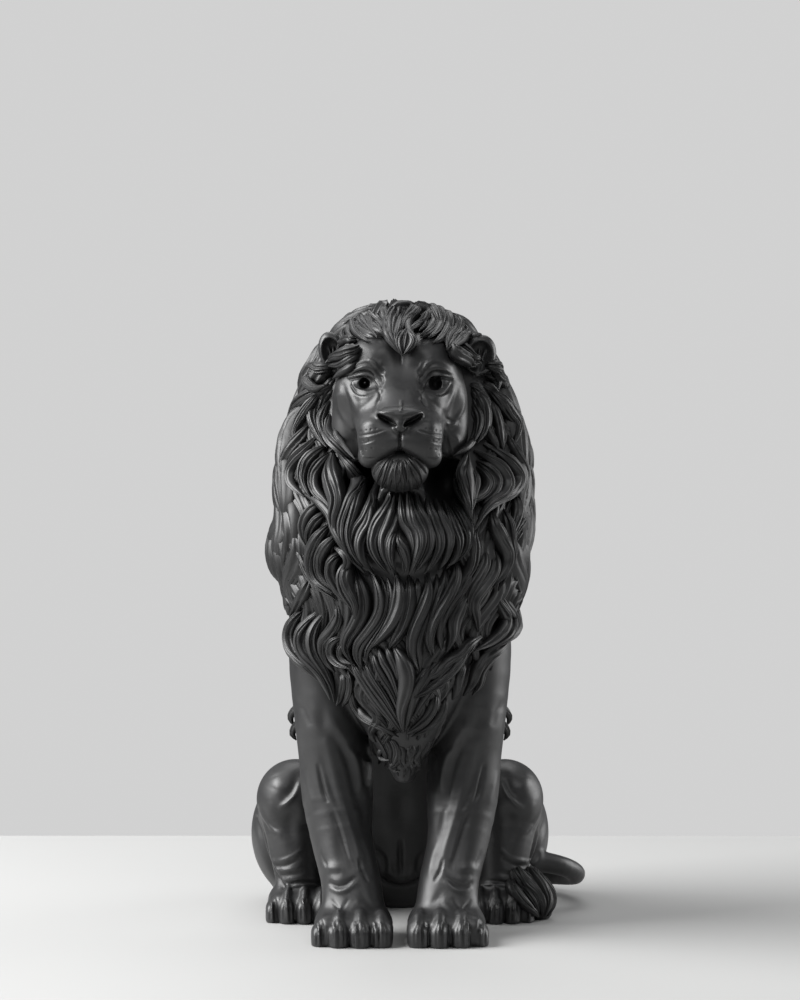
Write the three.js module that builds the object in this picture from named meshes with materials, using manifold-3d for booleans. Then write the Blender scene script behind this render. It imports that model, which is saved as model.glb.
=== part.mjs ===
// A seated lion statuette, cast in one piece: heavy waved mane, head held level,
// forelegs straight, haunches folded, and a tail that loops out beside the left haunch.
// Millimetres, +Z up. The lion faces -Y, and +X is the lion's own left side.
// The origin lies on the ground under the middle of the flat seat.
import * as THREE from 'three';
import { mergeVertices } from 'three/addons/utils/BufferGeometryUtils.js';
import Module from 'manifold-3d';

const wasm = await Module();
wasm.setup();

// Overall sizes
const HEIGHT = 402;
const TOE_FRONT = -187; // the front toes' foremost point
const HIND_TOE_FRONT = -108;
const LEG_X = 29.5; // a front paw's centre, to either side
const HIND_X = 66;
const PAW = { width: 49.5, length: 62, height: 25, toes: 4, toeRadius: 7.4 };
const HIND_PAW = { width: 42, length: 96, height: 25, toes: 4, toeRadius: 6.4 };

// Stations of the trunk: [y, z, half width, half depth]
const TRUNK = [
  [2, -30, 54, 44],
  [1, 10, 57, 45],
  [-4, 45, 59, 49],
  [-18, 88, 56, 50],
  [-42, 132, 55, 50],
  [-70, 178, 58, 53],
  [-94, 220, 58, 54],
  [-110, 258, 50, 48],
  [-120, 304, 44, 44],
];

// Stations of the mane's body under its locks: [z, half width, front y, back y]
const MANE = [
  [98, 5, -154, -136],
  [124, 22, -167, -107],
  [150, 41, -176, -75],
  [180, 56, -182, -45],
  [196, 60, -183, -35],
  [214, 71, -184, -27],
  [242, 74, -185, -27],
  [270, 76, -179, -37],
  [300, 76, -165, -49],
  [328, 69, -151, -59],
  [354, 59, -145, -69],
  [374, 47, -141, -81],
  [387, 32, -138, -94],
  [396, 8, -132, -112],
];
const MANE_X = 2.5; // its axis lies a little to the lion's left
const EARS = [[53, -131, 367, 11], [-46.5, -131, 369, 9]]; // centre and half width

// Locks carved over the mane's body, in rows that overlap downwards like shingles
const LOCKS = { round: 12, rowHeight: 62, thickness: 11, wave: 0.5, waveLength: 78 };
const MANE_SKIN = { sides: 60, rings: 34 };
const FACE = { halfAngle: 0.8, fade: 0.25, chinZ: 262 }; // no lock covers this part of the front

// The joined skin is cleaned of edges shorter than this
const CLEANING = { shortestEdge: 2.2, passes: 4 };

// Vector and curve helpers
const vec = (x, y, z) => new THREE.Vector3(x, y, z);
const smooth = (t) => t * t * (3 - 2 * t);

function alongStations(stations, t) {
  // Values between stations, on a smooth curve through them.
  const last = stations.length - 1;
  const at = Math.min(Math.max(t, 0), 1) * last;
  const i = Math.min(Math.floor(at), last - 1);
  const u = at - i;
  const row = (k) => stations[Math.min(Math.max(k, 0), last)];
  return row(i).map((_, c) => {
    const [a, b, d, e] = [row(i - 1)[c], row(i)[c], row(i + 1)[c], row(i + 2)[c]];
    const slope0 = (d - a) / 2;
    const slope1 = (e - b) / 2;
    const u2 = u * u;
    const u3 = u2 * u;
    return b * (2 * u3 - 3 * u2 + 1) + slope0 * (u3 - 2 * u2 + u) + d * (3 * u2 - 2 * u3) + slope1 * (u3 - u2);
  });
}

function closedSkin(rings, startPole, endPole) {
  // A closed mesh through rings of points, with one point at either end.
  const sides = rings[0].length;
  const points = [startPole, ...rings.flat(), endPole];
  const index = [];
  const id = (r, s) => 1 + r * sides + (s % sides);
  for (let s = 0; s < sides; s += 1) {
    index.push(0, id(0, s + 1), id(0, s));
    index.push(points.length - 1, id(rings.length - 1, s), id(rings.length - 1, s + 1));
    for (let r = 0; r < rings.length - 1; r += 1) {
      index.push(id(r, s), id(r, s + 1), id(r + 1, s + 1));
      index.push(id(r, s), id(r + 1, s + 1), id(r + 1, s));
    }
  }
  const geometry = new THREE.BufferGeometry();
  geometry.setAttribute('position', new THREE.Float32BufferAttribute(points.flatMap((p) => p.toArray()), 3));
  geometry.setIndex(index);
  return geometry;
}

function sweep({ stations, rings, sides, up, blunt = 0.12 }) {
  // A limb through stations [x, y, z, half width, half depth], with rounded ends.
  // The depth lies along up, and the width across it.
  const at = (t) => alongStations(stations, t);
  const skin = [];
  for (let r = 0; r < rings; r += 1) {
    const t = (r + 0.5) / rings;
    const [x, y, z, wide, deep] = at(t);
    const ahead = vec(...at(t + 0.02).slice(0, 3)).sub(vec(...at(t - 0.02).slice(0, 3))).normalize();
    const across = ahead.clone().cross(up).normalize();
    const out = across.clone().cross(ahead).normalize();
    const near = Math.min(t, 1 - t) / blunt;
    const round = near < 1 ? Math.sqrt(1 - (1 - near) ** 2) : 1;
    const ring = [];
    for (let s = 0; s < sides; s += 1) {
      const a = (2 * Math.PI * s) / sides;
      ring.push(vec(x, y, z)
        .addScaledVector(across, wide * round * Math.cos(a))
        .addScaledVector(out, deep * round * Math.sin(a)));
    }
    skin.push(ring);
  }
  return closedSkin(skin, vec(...at(0).slice(0, 3)), vec(...at(1).slice(0, 3)));
}

function egg(centre, radii, tilt = 0, sides = 12, rings = 7) {
  // An ellipsoid, tilted nose-up about X by tilt radians.
  const geometry = new THREE.SphereGeometry(1, sides, rings);
  geometry.rotateX(Math.PI / 2);
  geometry.scale(...radii);
  geometry.rotateX(tilt);
  geometry.translate(...centre);
  return geometry;
}

function bothSides(make) {
  return [make(1), make(-1)];
}

// Solids from meshes
function solid(geometry) {
  const bare = new THREE.BufferGeometry();
  bare.setAttribute('position', geometry.getAttribute('position'));
  bare.setIndex(geometry.getIndex());
  const merged = mergeVertices(bare, 1e-3);
  const position = merged.getAttribute('position').array;
  const index = Uint32Array.from(merged.getIndex().array);
  if (signedVolume(position, index) < 0) {
    for (let i = 0; i < index.length; i += 3) {
      [index[i + 1], index[i + 2]] = [index[i + 2], index[i + 1]];
    }
  }
  return new wasm.Manifold(new wasm.Mesh({
    numProp: 3, vertProperties: Float32Array.from(position), triVerts: index,
  }));
}

function signedVolume(position, index) {
  let six = 0;
  const p = (i) => vec(position[3 * i], position[3 * i + 1], position[3 * i + 2]);
  for (let i = 0; i < index.length; i += 3) {
    six += p(index[i]).dot(p(index[i + 1]).cross(p(index[i + 2])));
  }
  return six;
}

function joined(geometries) {
  return geometries.map(solid).reduce((whole, piece) => whole.add(piece));
}

function outerShell(triangles) {
  // The largest connected shell, without the pinholes sealed between overlapping forms.
  const parent = new Map();
  const root = (v) => {
    let top = v;
    while (parent.has(top)) top = parent.get(top);
    return top;
  };
  const link = (a, b) => {
    const [ra, rb] = [root(a), root(b)];
    if (ra !== rb) parent.set(ra, rb);
  };
  triangles.forEach(([a, b, c]) => {
    link(a, b);
    link(a, c);
  });
  const shells = new Map();
  triangles.forEach((triangle) => {
    const key = root(triangle[0]);
    if (!shells.has(key)) shells.set(key, []);
    shells.get(key).push(triangle);
  });
  return [...shells.values()].sort((a, b) => b.length - a.length)[0];
}

function faceNormal(points, triangle) {
  const [a, b, c] = triangle.map((v) => points[v]);
  return b.clone().sub(a).cross(c.clone().sub(a));
}

function collapseShortEdges(points, triangles, shortest) {
  // Merges the ends of short edges where the skin stays closed and no face turns over.
  // A point on the ground stays on the ground.
  const around = points.map(() => new Set());
  triangles.forEach((triangle, i) => triangle.forEach((v) => around[v].add(i)));
  const alive = triangles.map(() => true);
  const neighbours = (v) => new Set([...around[v]].flatMap((i) => triangles[i]).filter((w) => w !== v));
  const turnsOver = (v, target, skip) => [...around[v]].some((i) => {
    if (skip.has(i)) return false;
    const before = faceNormal(points, triangles[i]);
    const kept = points[v];
    points[v] = target;
    const after = faceNormal(points, triangles[i]);
    points[v] = kept;
    const steady = before.length() < 0.05 * shortest ** 2;
    return after.length() < 1e-3 || (!steady && before.dot(after) < 0.3 * before.length() * after.length());
  });
  const edges = triangles
    .flatMap(([a, b, c]) => [[a, b], [b, c], [c, a]])
    .filter(([a, b]) => a < b && points[a].distanceTo(points[b]) < shortest)
    .sort((e, f) => points[e[0]].distanceTo(points[e[1]]) - points[f[0]].distanceTo(points[f[1]]));
  edges.forEach(([a, b]) => {
    const shared = new Set([...around[a]].filter((i) => around[b].has(i)));
    const beside = neighbours(b);
    const common = [...neighbours(a)].filter((v) => beside.has(v));
    if (shared.size !== 2 || common.length !== 2 || points[a].distanceTo(points[b]) >= shortest) return;
    const grounded = [points[a], points[b]].find((p) => Math.abs(p.z) < 1e-6);
    const target = grounded ? grounded.clone() : points[a].clone().lerp(points[b], 0.5);
    if (turnsOver(a, target, shared) || turnsOver(b, target, shared)) return;
    shared.forEach((i) => {
      alive[i] = false;
      triangles[i].forEach((v) => around[v].delete(i));
    });
    around[b].forEach((i) => {
      triangles[i] = triangles[i].map((v) => (v === b ? a : v));
      around[a].add(i);
    });
    around[b].clear();
    points[a] = target;
  });
  return triangles.filter((_, i) => alive[i]);
}

function toGeometry(manifold) {
  const mesh = manifold.getMesh();
  const points = [];
  for (let i = 0; i < mesh.vertProperties.length; i += 3) {
    points.push(vec(...mesh.vertProperties.slice(i, i + 3)));
  }
  let triangles = [];
  for (let i = 0; i < mesh.triVerts.length; i += 3) {
    triangles.push([...mesh.triVerts.slice(i, i + 3)]);
  }
  triangles = outerShell(triangles);
  for (let pass = 0; pass < CLEANING.passes; pass += 1) {
    triangles = collapseShortEdges(points, triangles, CLEANING.shortestEdge);
  }
  const used = [...new Set(triangles.flat())];
  const renumber = new Map(used.map((v, i) => [v, i]));
  const geometry = new THREE.BufferGeometry();
  geometry.setAttribute('position', new THREE.Float32BufferAttribute(used.flatMap((v) => points[v].toArray()), 3));
  geometry.setIndex(triangles.flat().map((v) => renumber.get(v)));
  geometry.computeVertexNormals();
  return geometry;
}

// Trunk, haunches and limbs
function trunk() {
  return sweep({
    stations: TRUNK.map(([y, z, wide, deep]) => [0, y, z, wide, deep]),
    rings: 11, sides: 16, up: vec(0, -1, 0.25), blunt: 0.06,
  });
}

function foreleg(side) {
  const stations = [
    [46, -110, 192, 20, 30],
    [47, -113, 165, 23, 31],
    [44.5, -117, 138, 23, 29],
    [41.5, -119, 112, 23, 26],
    [39.5, -124, 86, 22.5, 23],
    [37.5, -135, 59, 19.5, 18.5],
    [31, -146, 35, 18.8, 16.5],
    [28.5, -152, 20, 19, 16],
    [29, -157, 8, 20, 15],
  ];
  return sweep({
    stations: stations.map(([x, ...rest]) => [side * x, ...rest]),
    rings: 10, sides: 10, up: vec(0, -1, 0), blunt: 0.05,
  });
}

function shoulder(side) {
  return egg([side * 43, -108, 184], [28, 40, 48], 0.1);
}

function toes(paw, centreX, frontY) {
  // Toes side by side, the outer two set back.
  const parts = [];
  for (let i = 0; i < paw.toes; i += 1) {
    const u = (2 * i) / (paw.toes - 1) - 1;
    const x = centreX + u * (paw.width / 2 - paw.toeRadius);
    const setBack = 7 * u * u;
    const reach = paw.length * 0.28;
    const centre = [x, frontY + reach + setBack, paw.height * 0.42];
    parts.push(egg(centre, [paw.toeRadius, reach, paw.height * 0.5], 0, 8, 5));
  }
  return parts;
}

function frontPaw(side) {
  const back = egg([side * LEG_X, TOE_FRONT + PAW.length * 0.6, 10],
    [PAW.width / 2 - 1.5, PAW.length * 0.42, 15]);
  return [back, ...toes(PAW, side * LEG_X, TOE_FRONT)];
}

function hindPaw(side) {
  const x = side * HIND_X;
  const sole = egg([x, HIND_TOE_FRONT + HIND_PAW.length * 0.5, 8],
    [HIND_PAW.width / 2 - 2, HIND_PAW.length * 0.45, 17]);
  return [sole, ...toes(HIND_PAW, x, HIND_TOE_FRONT)];
}

function haunch(side) {
  return [
    egg([side * 60, -24, 52], [40, 58, 50], -0.35, 16, 9),
    egg([side * 69, -64, 76], [25.5, 28, 26]),
    sweep({
      stations: [
        [side * 72, -66, 72, 21, 21],
        [side * 69, -74, 46, 18, 18],
        [side * 66, -72, 20, 15, 18],
      ],
      rings: 5, sides: 12, up: vec(0, -1, 0),
    }),
  ];
}

function elbowTuft(side) {
  return sweep({
    stations: [
      [side * 54, -102, 126, 7, 7],
      [side * 63, -92, 132, 5, 4],
      [side * 69, -86, 138, 2, 2],
    ],
    rings: 4, sides: 6, up: vec(0, -1, 0),
  });
}

// Tail: from the rump round the left haunch, out to the side, and back to its tuft
function tail() {
  const cord = sweep({
    stations: [
      [0, 30, 26, 10, 10],
      [34, 48, 14, 8, 8],
      [78, 44, 11, 7, 7],
      [109, 14, 13, 6.5, 6.5],
      [118.5, -20, 19, 6.5, 6.5],
      [110, -40, 27, 6.5, 6.5],
      [92, -49, 32, 7, 7],
      [77, -58, 32, 7, 7],
    ],
    rings: 20, sides: 7, up: vec(0, 0, 1), blunt: 0.04,
  });
  const tuft = sweep({
    stations: [
      [73, -58, 37, 5, 5],
      [80, -70, 28, 9, 7],
      [87, -79, 16, 11, 8],
      [91, -84, 5, 8.5, 7],
    ],
    rings: 7, sides: 8, up: vec(0.5, -0.6, 0.6),
  });
  return [cord, tuft];
}

// Head
function head() {
  return [
    egg([0, -140, 336], [41, 44, 42], 0, 14, 9),
    egg([0, -176, 332], [15, 34, 13], 0.5, 10, 6),
    ...bothSides((side) => egg([side * 21, -160, 354], [13, 17, 9], 0.2)),
    ...bothSides((side) => egg([side * 29, -146, 322], [14, 22, 28])),
    ...bothSides((side) => egg([side * 12.5, -186, 314], [14.5, 22, 17], 0.25)),
    egg([0, -201, 329], [14, 10, 9], 0.3, 10, 6),
    egg([0, -183, 294], [18, 16, 14], 0, 10, 6),
    ...EARS.map(([x, y, z, wide]) => egg([x, y, z], [wide, 7, 13.5], 0.1, 10, 6)),
  ];
}

// Mane
function maneStation(z) {
  // The mane's section at height z: half width, front y and back y.
  const above = Math.max(1, MANE.findIndex(([height]) => height >= z));
  const [z0] = MANE[above - 1];
  const [z1] = MANE[above];
  const t = (above - 1 + (z - z0) / (z1 - z0)) / (MANE.length - 1);
  return alongStations(MANE, t).slice(1);
}

function manePoint(angle, z, lift) {
  // angle 0 is the front and grows towards +X.
  const [wide, front, back] = maneStation(z);
  const middle = (front + back) / 2;
  const deep = (back - front) / 2 + lift;
  return vec(MANE_X + (wide + lift) * Math.sin(angle), middle - deep * Math.cos(angle), z);
}

function lockLift(angle, z) {
  // How far the locks stand out of the mane's body at a place on it.
  const sway = LOCKS.wave * Math.sin((2 * Math.PI * z) / LOCKS.waveLength);
  const place = (angle / (2 * Math.PI)) * LOCKS.round + sway;
  const column = Math.floor(place);
  const across = 2 * (place - column) - 1;
  const down = (MANE.at(-1)[0] - z) / LOCKS.rowHeight + Math.abs(column % 2) / 2;
  const along = down - Math.floor(down);
  const rounded = Math.sqrt(Math.max(0, 1 - across * across * (0.8 + 0.2 * along)));
  const shingle = 0.55 + 0.45 * along;
  const turn = Math.abs(Math.atan2(Math.sin(angle), Math.cos(angle)));
  const bare = z > FACE.chinZ ? smooth(Math.min(1, Math.max(0, (turn - FACE.halfAngle) / FACE.fade))) : 1;
  return LOCKS.thickness * (rounded * shingle * bare - 0.3);
}

function maneBody() {
  const rings = [];
  const low = MANE[0];
  const high = MANE.at(-1);
  for (let r = 0; r < MANE_SKIN.rings; r += 1) {
    const z = low[0] + ((high[0] - low[0]) * r) / (MANE_SKIN.rings - 1);
    const ring = [];
    const taper = Math.min(1, maneStation(z)[0] / 30);
    for (let s = 0; s < MANE_SKIN.sides; s += 1) {
      const angle = (2 * Math.PI * s) / MANE_SKIN.sides;
      ring.push(manePoint(angle, z, lockLift(angle, z) * taper));
    }
    rings.push(ring);
  }
  return closedSkin(
    rings,
    vec(MANE_X, (low[2] + low[3]) / 2, low[0] - 2),
    vec(MANE_X, (high[2] + high[3]) / 2, high[0] + 1),
  );
}

function forelocks() {
  // Locks swept from the middle of the brow up and out to either side.
  return bothSides((side) => [0, 1, 2].map((i) => sweep({
    stations: [
      [side * 3, -150 + 4 * i, 374 + 8 * i, 7, 5],
      [side * (22 - 2 * i), -154 + 8 * i, 384 + 5 * i, 9, 6],
      [side * (40 - 6 * i), -146 + 8 * i, 374 + 8 * i, 8, 5],
      [side * (50 - 8 * i), -140 + 8 * i, 362 + 12 * i, 3, 3],
    ],
    rings: 4, sides: 5, up: vec(0, -0.6, 0.8),
  }))).flat();
}

function bib() {
  // Hair under the chin, full in the middle, with a lip for its lower edge and locks down it.
  const strands = [];
  for (let i = -2; i <= 2; i += 1) {
    strands.push(sweep({
      stations: [
        [i * 9, -166, 292, 8, 8],
        [i * 13, -182, 270, 10, 8],
        [i * 12, -190, 252, 10, 8],
        [i * 6, -190, 236, 5, 5],
      ],
      rings: 4, sides: 6, up: vec(0, -1, 0),
    }));
  }
  const lip = sweep({
    stations: [
      [-42, -156, 256, 11, 11],
      [-22, -170, 248, 12, 12],
      [2, -177, 246, 12, 12],
      [26, -170, 248, 12, 12],
      [46, -156, 258, 11, 11],
    ],
    rings: 8, sides: 8, up: vec(0, -1, 0),
  });
  return [egg([2, -150, 264], [46, 37, 30]), lip, ...strands];
}

// The whole lion, cut flat where it stands
const whole = joined([
  trunk(),
  ...bothSides(foreleg),
  ...bothSides(shoulder),
  ...bothSides(frontPaw).flat(),
  ...bothSides(haunch).flat(),
  ...bothSides(hindPaw).flat(),
  ...bothSides(elbowTuft),
  ...tail(),
  ...head(),
  maneBody(),
  ...forelocks(),
  ...bib(),
  egg([-57, -100, 243], [22, 36, 22]), // a bulge of the mane on the lion's right
]);
const ground = new THREE.BoxGeometry(2 * HEIGHT, 2 * HEIGHT, HEIGHT);
ground.translate(0, 0, -HEIGHT / 2);
const lionSolid = whole.subtract(solid(ground));

const charcoal = new THREE.MeshStandardMaterial({ color: 0x1e1e20, roughness: 0.5, metalness: 0 });
const lion = new THREE.Mesh(toGeometry(lionSolid), charcoal);
lion.name = 'lion';

const statuette = new THREE.Group();
statuette.add(lion);

export default statuette;
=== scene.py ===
"""Looks of a seated lion statuette in satin black cast resin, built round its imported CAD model.

The lion faces -Y, +X is the lion's own left side, and +Z is up. The sculpting works in millimetres on
grids of distances, where forms are joined softly and carved, and the finished skins are scaled to metres.
The hair is made of carved locks that a node tree sweeps along guide lines laid over the mane.
"""

import math
from functools import partial

import bpy
import numpy as np
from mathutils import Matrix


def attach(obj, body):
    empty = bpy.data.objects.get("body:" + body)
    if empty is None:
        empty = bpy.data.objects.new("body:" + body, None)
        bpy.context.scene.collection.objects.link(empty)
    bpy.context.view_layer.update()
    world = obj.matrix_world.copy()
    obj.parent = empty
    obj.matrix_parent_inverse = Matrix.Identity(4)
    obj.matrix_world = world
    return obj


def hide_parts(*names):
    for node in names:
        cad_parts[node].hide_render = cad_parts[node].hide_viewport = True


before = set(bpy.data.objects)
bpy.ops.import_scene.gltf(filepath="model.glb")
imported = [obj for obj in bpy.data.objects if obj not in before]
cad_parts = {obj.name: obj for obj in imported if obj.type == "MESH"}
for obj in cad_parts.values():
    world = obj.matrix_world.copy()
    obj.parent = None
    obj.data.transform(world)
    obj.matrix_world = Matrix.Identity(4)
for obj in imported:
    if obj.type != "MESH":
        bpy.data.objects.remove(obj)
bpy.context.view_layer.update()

import openvdb
from mathutils import Vector

MM = 0.001
BODY = "root"

# Camera, found from the photograph's perspective and horizon
CAMERA_HEIGHT = 319.0
CAMERA_Y = -1905.0
CAMERA_DOWN = math.radians(1.432)
LENS = 100.8
SENSOR = 36.0
PICTURE = (800, 1000)


def vec(*values):
    return np.array(values, dtype=np.float64)


def ease(t):
    """From 0 to 1 with soft ends."""
    t = np.clip(t, 0.0, 1.0)
    return t * t * (3.0 - 2.0 * t)


def read_rows(text):
    """Rows of text: numbers, a colon, then points with commas between them.

    Each row comes back as its numbers and a list of its points. A line that starts with # is a note.
    """
    rows = []
    for line in text.splitlines():
        numbers, _, points = line.partition("#")[0].partition(":")
        if points:
            line_points = [tuple(float(v) for v in point.split()) for point in points.split(",")]
            rows.append((*(float(v) for v in numbers.split()), line_points))
    return rows


def new_object(name, data):
    """An object that holds the data, put into the scene."""
    made = bpy.data.objects.new(name, data)
    bpy.context.scene.collection.objects.link(made)
    return made


def spline(stations, count):
    """Rows of values on a smooth curve through the stations, count rows in all."""
    rows = np.array(stations, dtype=np.float64)
    padded = np.vstack([2 * rows[0] - rows[1], rows, 2 * rows[-1] - rows[-2]])
    at = np.linspace(0.0, len(rows) - 1.0, count)
    i = np.minimum(at.astype(int), len(rows) - 2)
    u = (at - i)[:, None]
    p0, p1, p2, p3 = (padded[i + k] for k in range(4))
    return 0.5 * (2 * p1 + (p2 - p0) * u + (2 * p0 - 5 * p1 + 4 * p2 - p3) * u**2
                  + (3 * p1 - p0 - 3 * p2 + p3) * u**3)


def turn_matrix(rx, ry, rz):
    """Rotation by degrees about X, then Y, then Z."""
    a, b, c = (math.radians(v) for v in (rx, ry, rz))
    about_x = np.array([[1, 0, 0], [0, math.cos(a), -math.sin(a)], [0, math.sin(a), math.cos(a)]])
    about_y = np.array([[math.cos(b), 0, math.sin(b)], [0, 1, 0], [-math.sin(b), 0, math.cos(b)]])
    about_z = np.array([[math.cos(c), -math.sin(c), 0], [math.sin(c), math.cos(c), 0], [0, 0, 1]])
    return about_z @ about_y @ about_x


# The camera's own axes, for marks that are placed in its picture
EYE = vec(0, CAMERA_Y, CAMERA_HEIGHT)
AHEAD = vec(0, math.cos(CAMERA_DOWN), -math.sin(CAMERA_DOWN))
UPWARD = vec(0, math.sin(CAMERA_DOWN), math.cos(CAMERA_DOWN))
FOCAL = LENS / SENSOR * PICTURE[1]


def in_picture(points):
    """Where points, in millimetres, are in the camera's picture: x to the right, y down."""
    rel = points - EYE
    far = rel @ AHEAD
    across, up = FOCAL * rel[:, 0] / far, FOCAL * (rel @ UPWARD) / far
    return np.stack([PICTURE[0] / 2 + across, PICTURE[1] / 2 - up], 1)


def sight_lines(marks):
    """Directions from the camera through picture points."""
    marks = np.asarray(marks, float)
    x = (marks[:, 0] - PICTURE[0] / 2) / FOCAL
    y = (PICTURE[1] / 2 - marks[:, 1]) / FOCAL
    lines = AHEAD + x[:, None] * vec(1, 0, 0) + y[:, None] * UPWARD
    return lines / np.linalg.norm(lines, axis=1, keepdims=True)


class Clay:
    """Soft forms on a grid of distances, in millimetres."""

    FAR = 30.0  # the distance that an empty grid holds
    MARGIN = 16.0  # how far round a form its distances are worked out
    TO_MIDDLE = vec(110, 90, 200)  # from the low corner of the whole lion's grid
    REACH = 320.0  # from that middle to beyond every part of the lion
    SIGHT_STEPS = 420

    def __init__(self, low, high, voxel):
        self.low = vec(*low)
        self.voxel = voxel
        self.shape = tuple(int(math.ceil((h - l) / voxel)) + 1 for l, h in zip(low, high))
        self.field = np.full(self.shape, self.FAR, np.float32)

    def window(self, low, high, margin):
        """The part of the grid round a box, and the places of its points."""
        first = np.floor((np.array(low) - margin - self.low) / self.voxel).astype(int)
        last = np.ceil((np.array(high) + margin - self.low) / self.voxel).astype(int) + 1
        first = np.clip(first, 0, self.shape)
        last = np.clip(last, 0, self.shape)
        axes = [
            (self.low[k] + self.voxel * np.arange(first[k], last[k])).astype(np.float32) for k in range(3)
        ]
        where = tuple(slice(a, b) for a, b in zip(first, last))
        return where, np.meshgrid(*axes, indexing="ij", sparse=True)

    def join(self, form, blend):
        """Adds a form, with a soft seam about as wide as blend."""
        distance, low, high = form
        where, place = self.window(low, high, blend + self.MARGIN)
        old = self.field[where]
        if old.size:
            new = distance(*place)
            near = np.maximum(blend - np.abs(old - new), 0.0) / blend
            self.field[where] = np.minimum(old, new) - near * near * (blend * 0.25)

    def carve(self, form, blend):
        """Takes a form away, with a soft edge about as wide as blend."""
        distance, low, high = form
        where, place = self.window(low, high, blend + 2.0)
        old = self.field[where]
        if old.size:
            new = -distance(*place)
            near = np.maximum(blend - np.abs(old - new), 0.0) / blend
            self.field[where] = np.maximum(old, new) + near * near * (blend * 0.25)

    def cut_flat(self, height, keep_above=True):
        """Keeps only what is above a height, or only what is below it."""
        above = (np.arange(self.shape[2]) * self.voxel + self.low[2] - height).astype(np.float32)
        self.field = np.maximum(self.field, -above if keep_above else above)

    def at(self, points):
        """Distances at points, between the grid's own points."""
        p = (points - self.low) / self.voxel
        i = np.clip(np.floor(p).astype(int), 0, np.array(self.shape) - 2)
        f = np.clip(p - i, 0, 1)
        total = np.linalg.norm(p - i - f, axis=1) * self.voxel
        for dx in (0, 1):
            for dy in (0, 1):
                for dz in (0, 1):
                    share = ((f[:, 0] if dx else 1 - f[:, 0]) * (f[:, 1] if dy else 1 - f[:, 1])
                             * (f[:, 2] if dz else 1 - f[:, 2]))
                    total = total + share * self.field[i[:, 0] + dx, i[:, 1] + dy, i[:, 2] + dz]
        return total

    def slope(self, points, step):
        """Unit outward directions of the surface near points."""
        out = np.stack([
            self.at(points + step * vec(*axis)) - self.at(points - step * vec(*axis))
            for axis in ((1, 0, 0), (0, 1, 0), (0, 0, 1))
        ], 1)
        return out / np.maximum(np.linalg.norm(out, axis=1, keepdims=True), 1e-9)

    def hit(self, start, lines, level):
        """Where lines from start first come within a distance, level, of the surface.

        A line that never does gives the place where it comes nearest.
        """
        level = np.zeros(len(lines)) + level
        far = np.array(start, float)
        before = max(0.0, np.linalg.norm(far - (self.low + self.TO_MIDDLE)) - self.REACH)
        going = np.full(len(lines), before)
        best = np.zeros_like(lines)
        least = np.full(len(lines), 1e9)
        done = np.zeros(len(lines), bool)
        for _ in range(self.SIGHT_STEPS):
            place = far + lines * going[:, None]
            d = self.at(place) - level
            nearer = (d < least) & ~done
            best[nearer] = place[nearer]
            least[nearer] = d[nearer]
            done |= d < 0.05
            if done.all():
                break
            going += np.where(done, 0.0, np.clip(d * 0.8, 0.1, 6.0))
        return best

    def settle(self, points, level, times):
        """Moves points up or down until they are a distance, level, from the surface."""
        for _ in range(times):
            points = points - self.slope(points, 4.0) * (self.at(points) - level)[:, None]
        return points

    def take_in(self, other):
        """Joins what another grid holds, where the two lie over each other."""
        low = other.low + 2 * other.voxel
        high = other.low + (np.array(other.shape) - 3) * other.voxel
        where, (x, y, z) = self.window(low, high, 0.0)
        x, y, z = np.broadcast_arrays(x, y, z)
        places = np.stack([x.ravel(), y.ravel(), z.ravel()], 1).astype(np.float64)
        within = np.all((places >= low) & (places <= high), axis=1)
        taken = np.where(within, other.at(places), self.FAR).reshape(x.shape)
        self.field[where] = np.minimum(self.field[where], taken.astype(np.float32))

    def skin(self):
        """Vertices in millimetres and quads of the surface."""
        grid = openvdb.FloatGrid(self.FAR)
        grid.copyFromArray(self.field)
        points, quads = grid.convertToQuads(0.0)
        return points.astype(np.float64) * self.voxel + self.low, quads.astype(np.int64)


def egg(centre, radii, turn=(0, 0, 0)):
    """An ellipsoid as a form: its distance and its box."""
    c, r = vec(*centre), vec(*radii)
    m = turn_matrix(*turn)
    reach = np.sqrt((m**2) @ (r**2))
    spun = any(turn)

    def distance(x, y, z):
        x, y, z = x - np.float32(c[0]), y - np.float32(c[1]), z - np.float32(c[2])
        if spun:
            n = m.T.astype(np.float32)
            x, y, z = (n[k, 0] * x + n[k, 1] * y + n[k, 2] * z for k in range(3))
        s = r.astype(np.float32)
        k0 = np.sqrt((x / s[0]) ** 2 + (y / s[1]) ** 2 + (z / s[2]) ** 2)
        k1 = np.sqrt((x / s[0] ** 2) ** 2 + (y / s[1] ** 2) ** 2 + (z / s[2] ** 2) ** 2)
        return k0 * (k0 - 1.0) / np.maximum(k1, 1e-6)

    return distance, c - reach, c + reach


def block(centre, half, rounding):
    """A rounded box as a form."""
    c, h = vec(*centre), vec(*half)

    def distance(x, y, z):
        q = [np.abs(v - np.float32(c[k])) - np.float32(h[k] - rounding) for k, v in enumerate((x, y, z))]
        inside = np.minimum(np.maximum(np.maximum(q[0], q[1]), q[2]), 0.0)
        beyond = np.sqrt(sum(np.maximum(v, 0.0) ** 2 for v in q))
        return beyond + inside - np.float32(rounding)

    return distance, c - h, c + h


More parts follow.
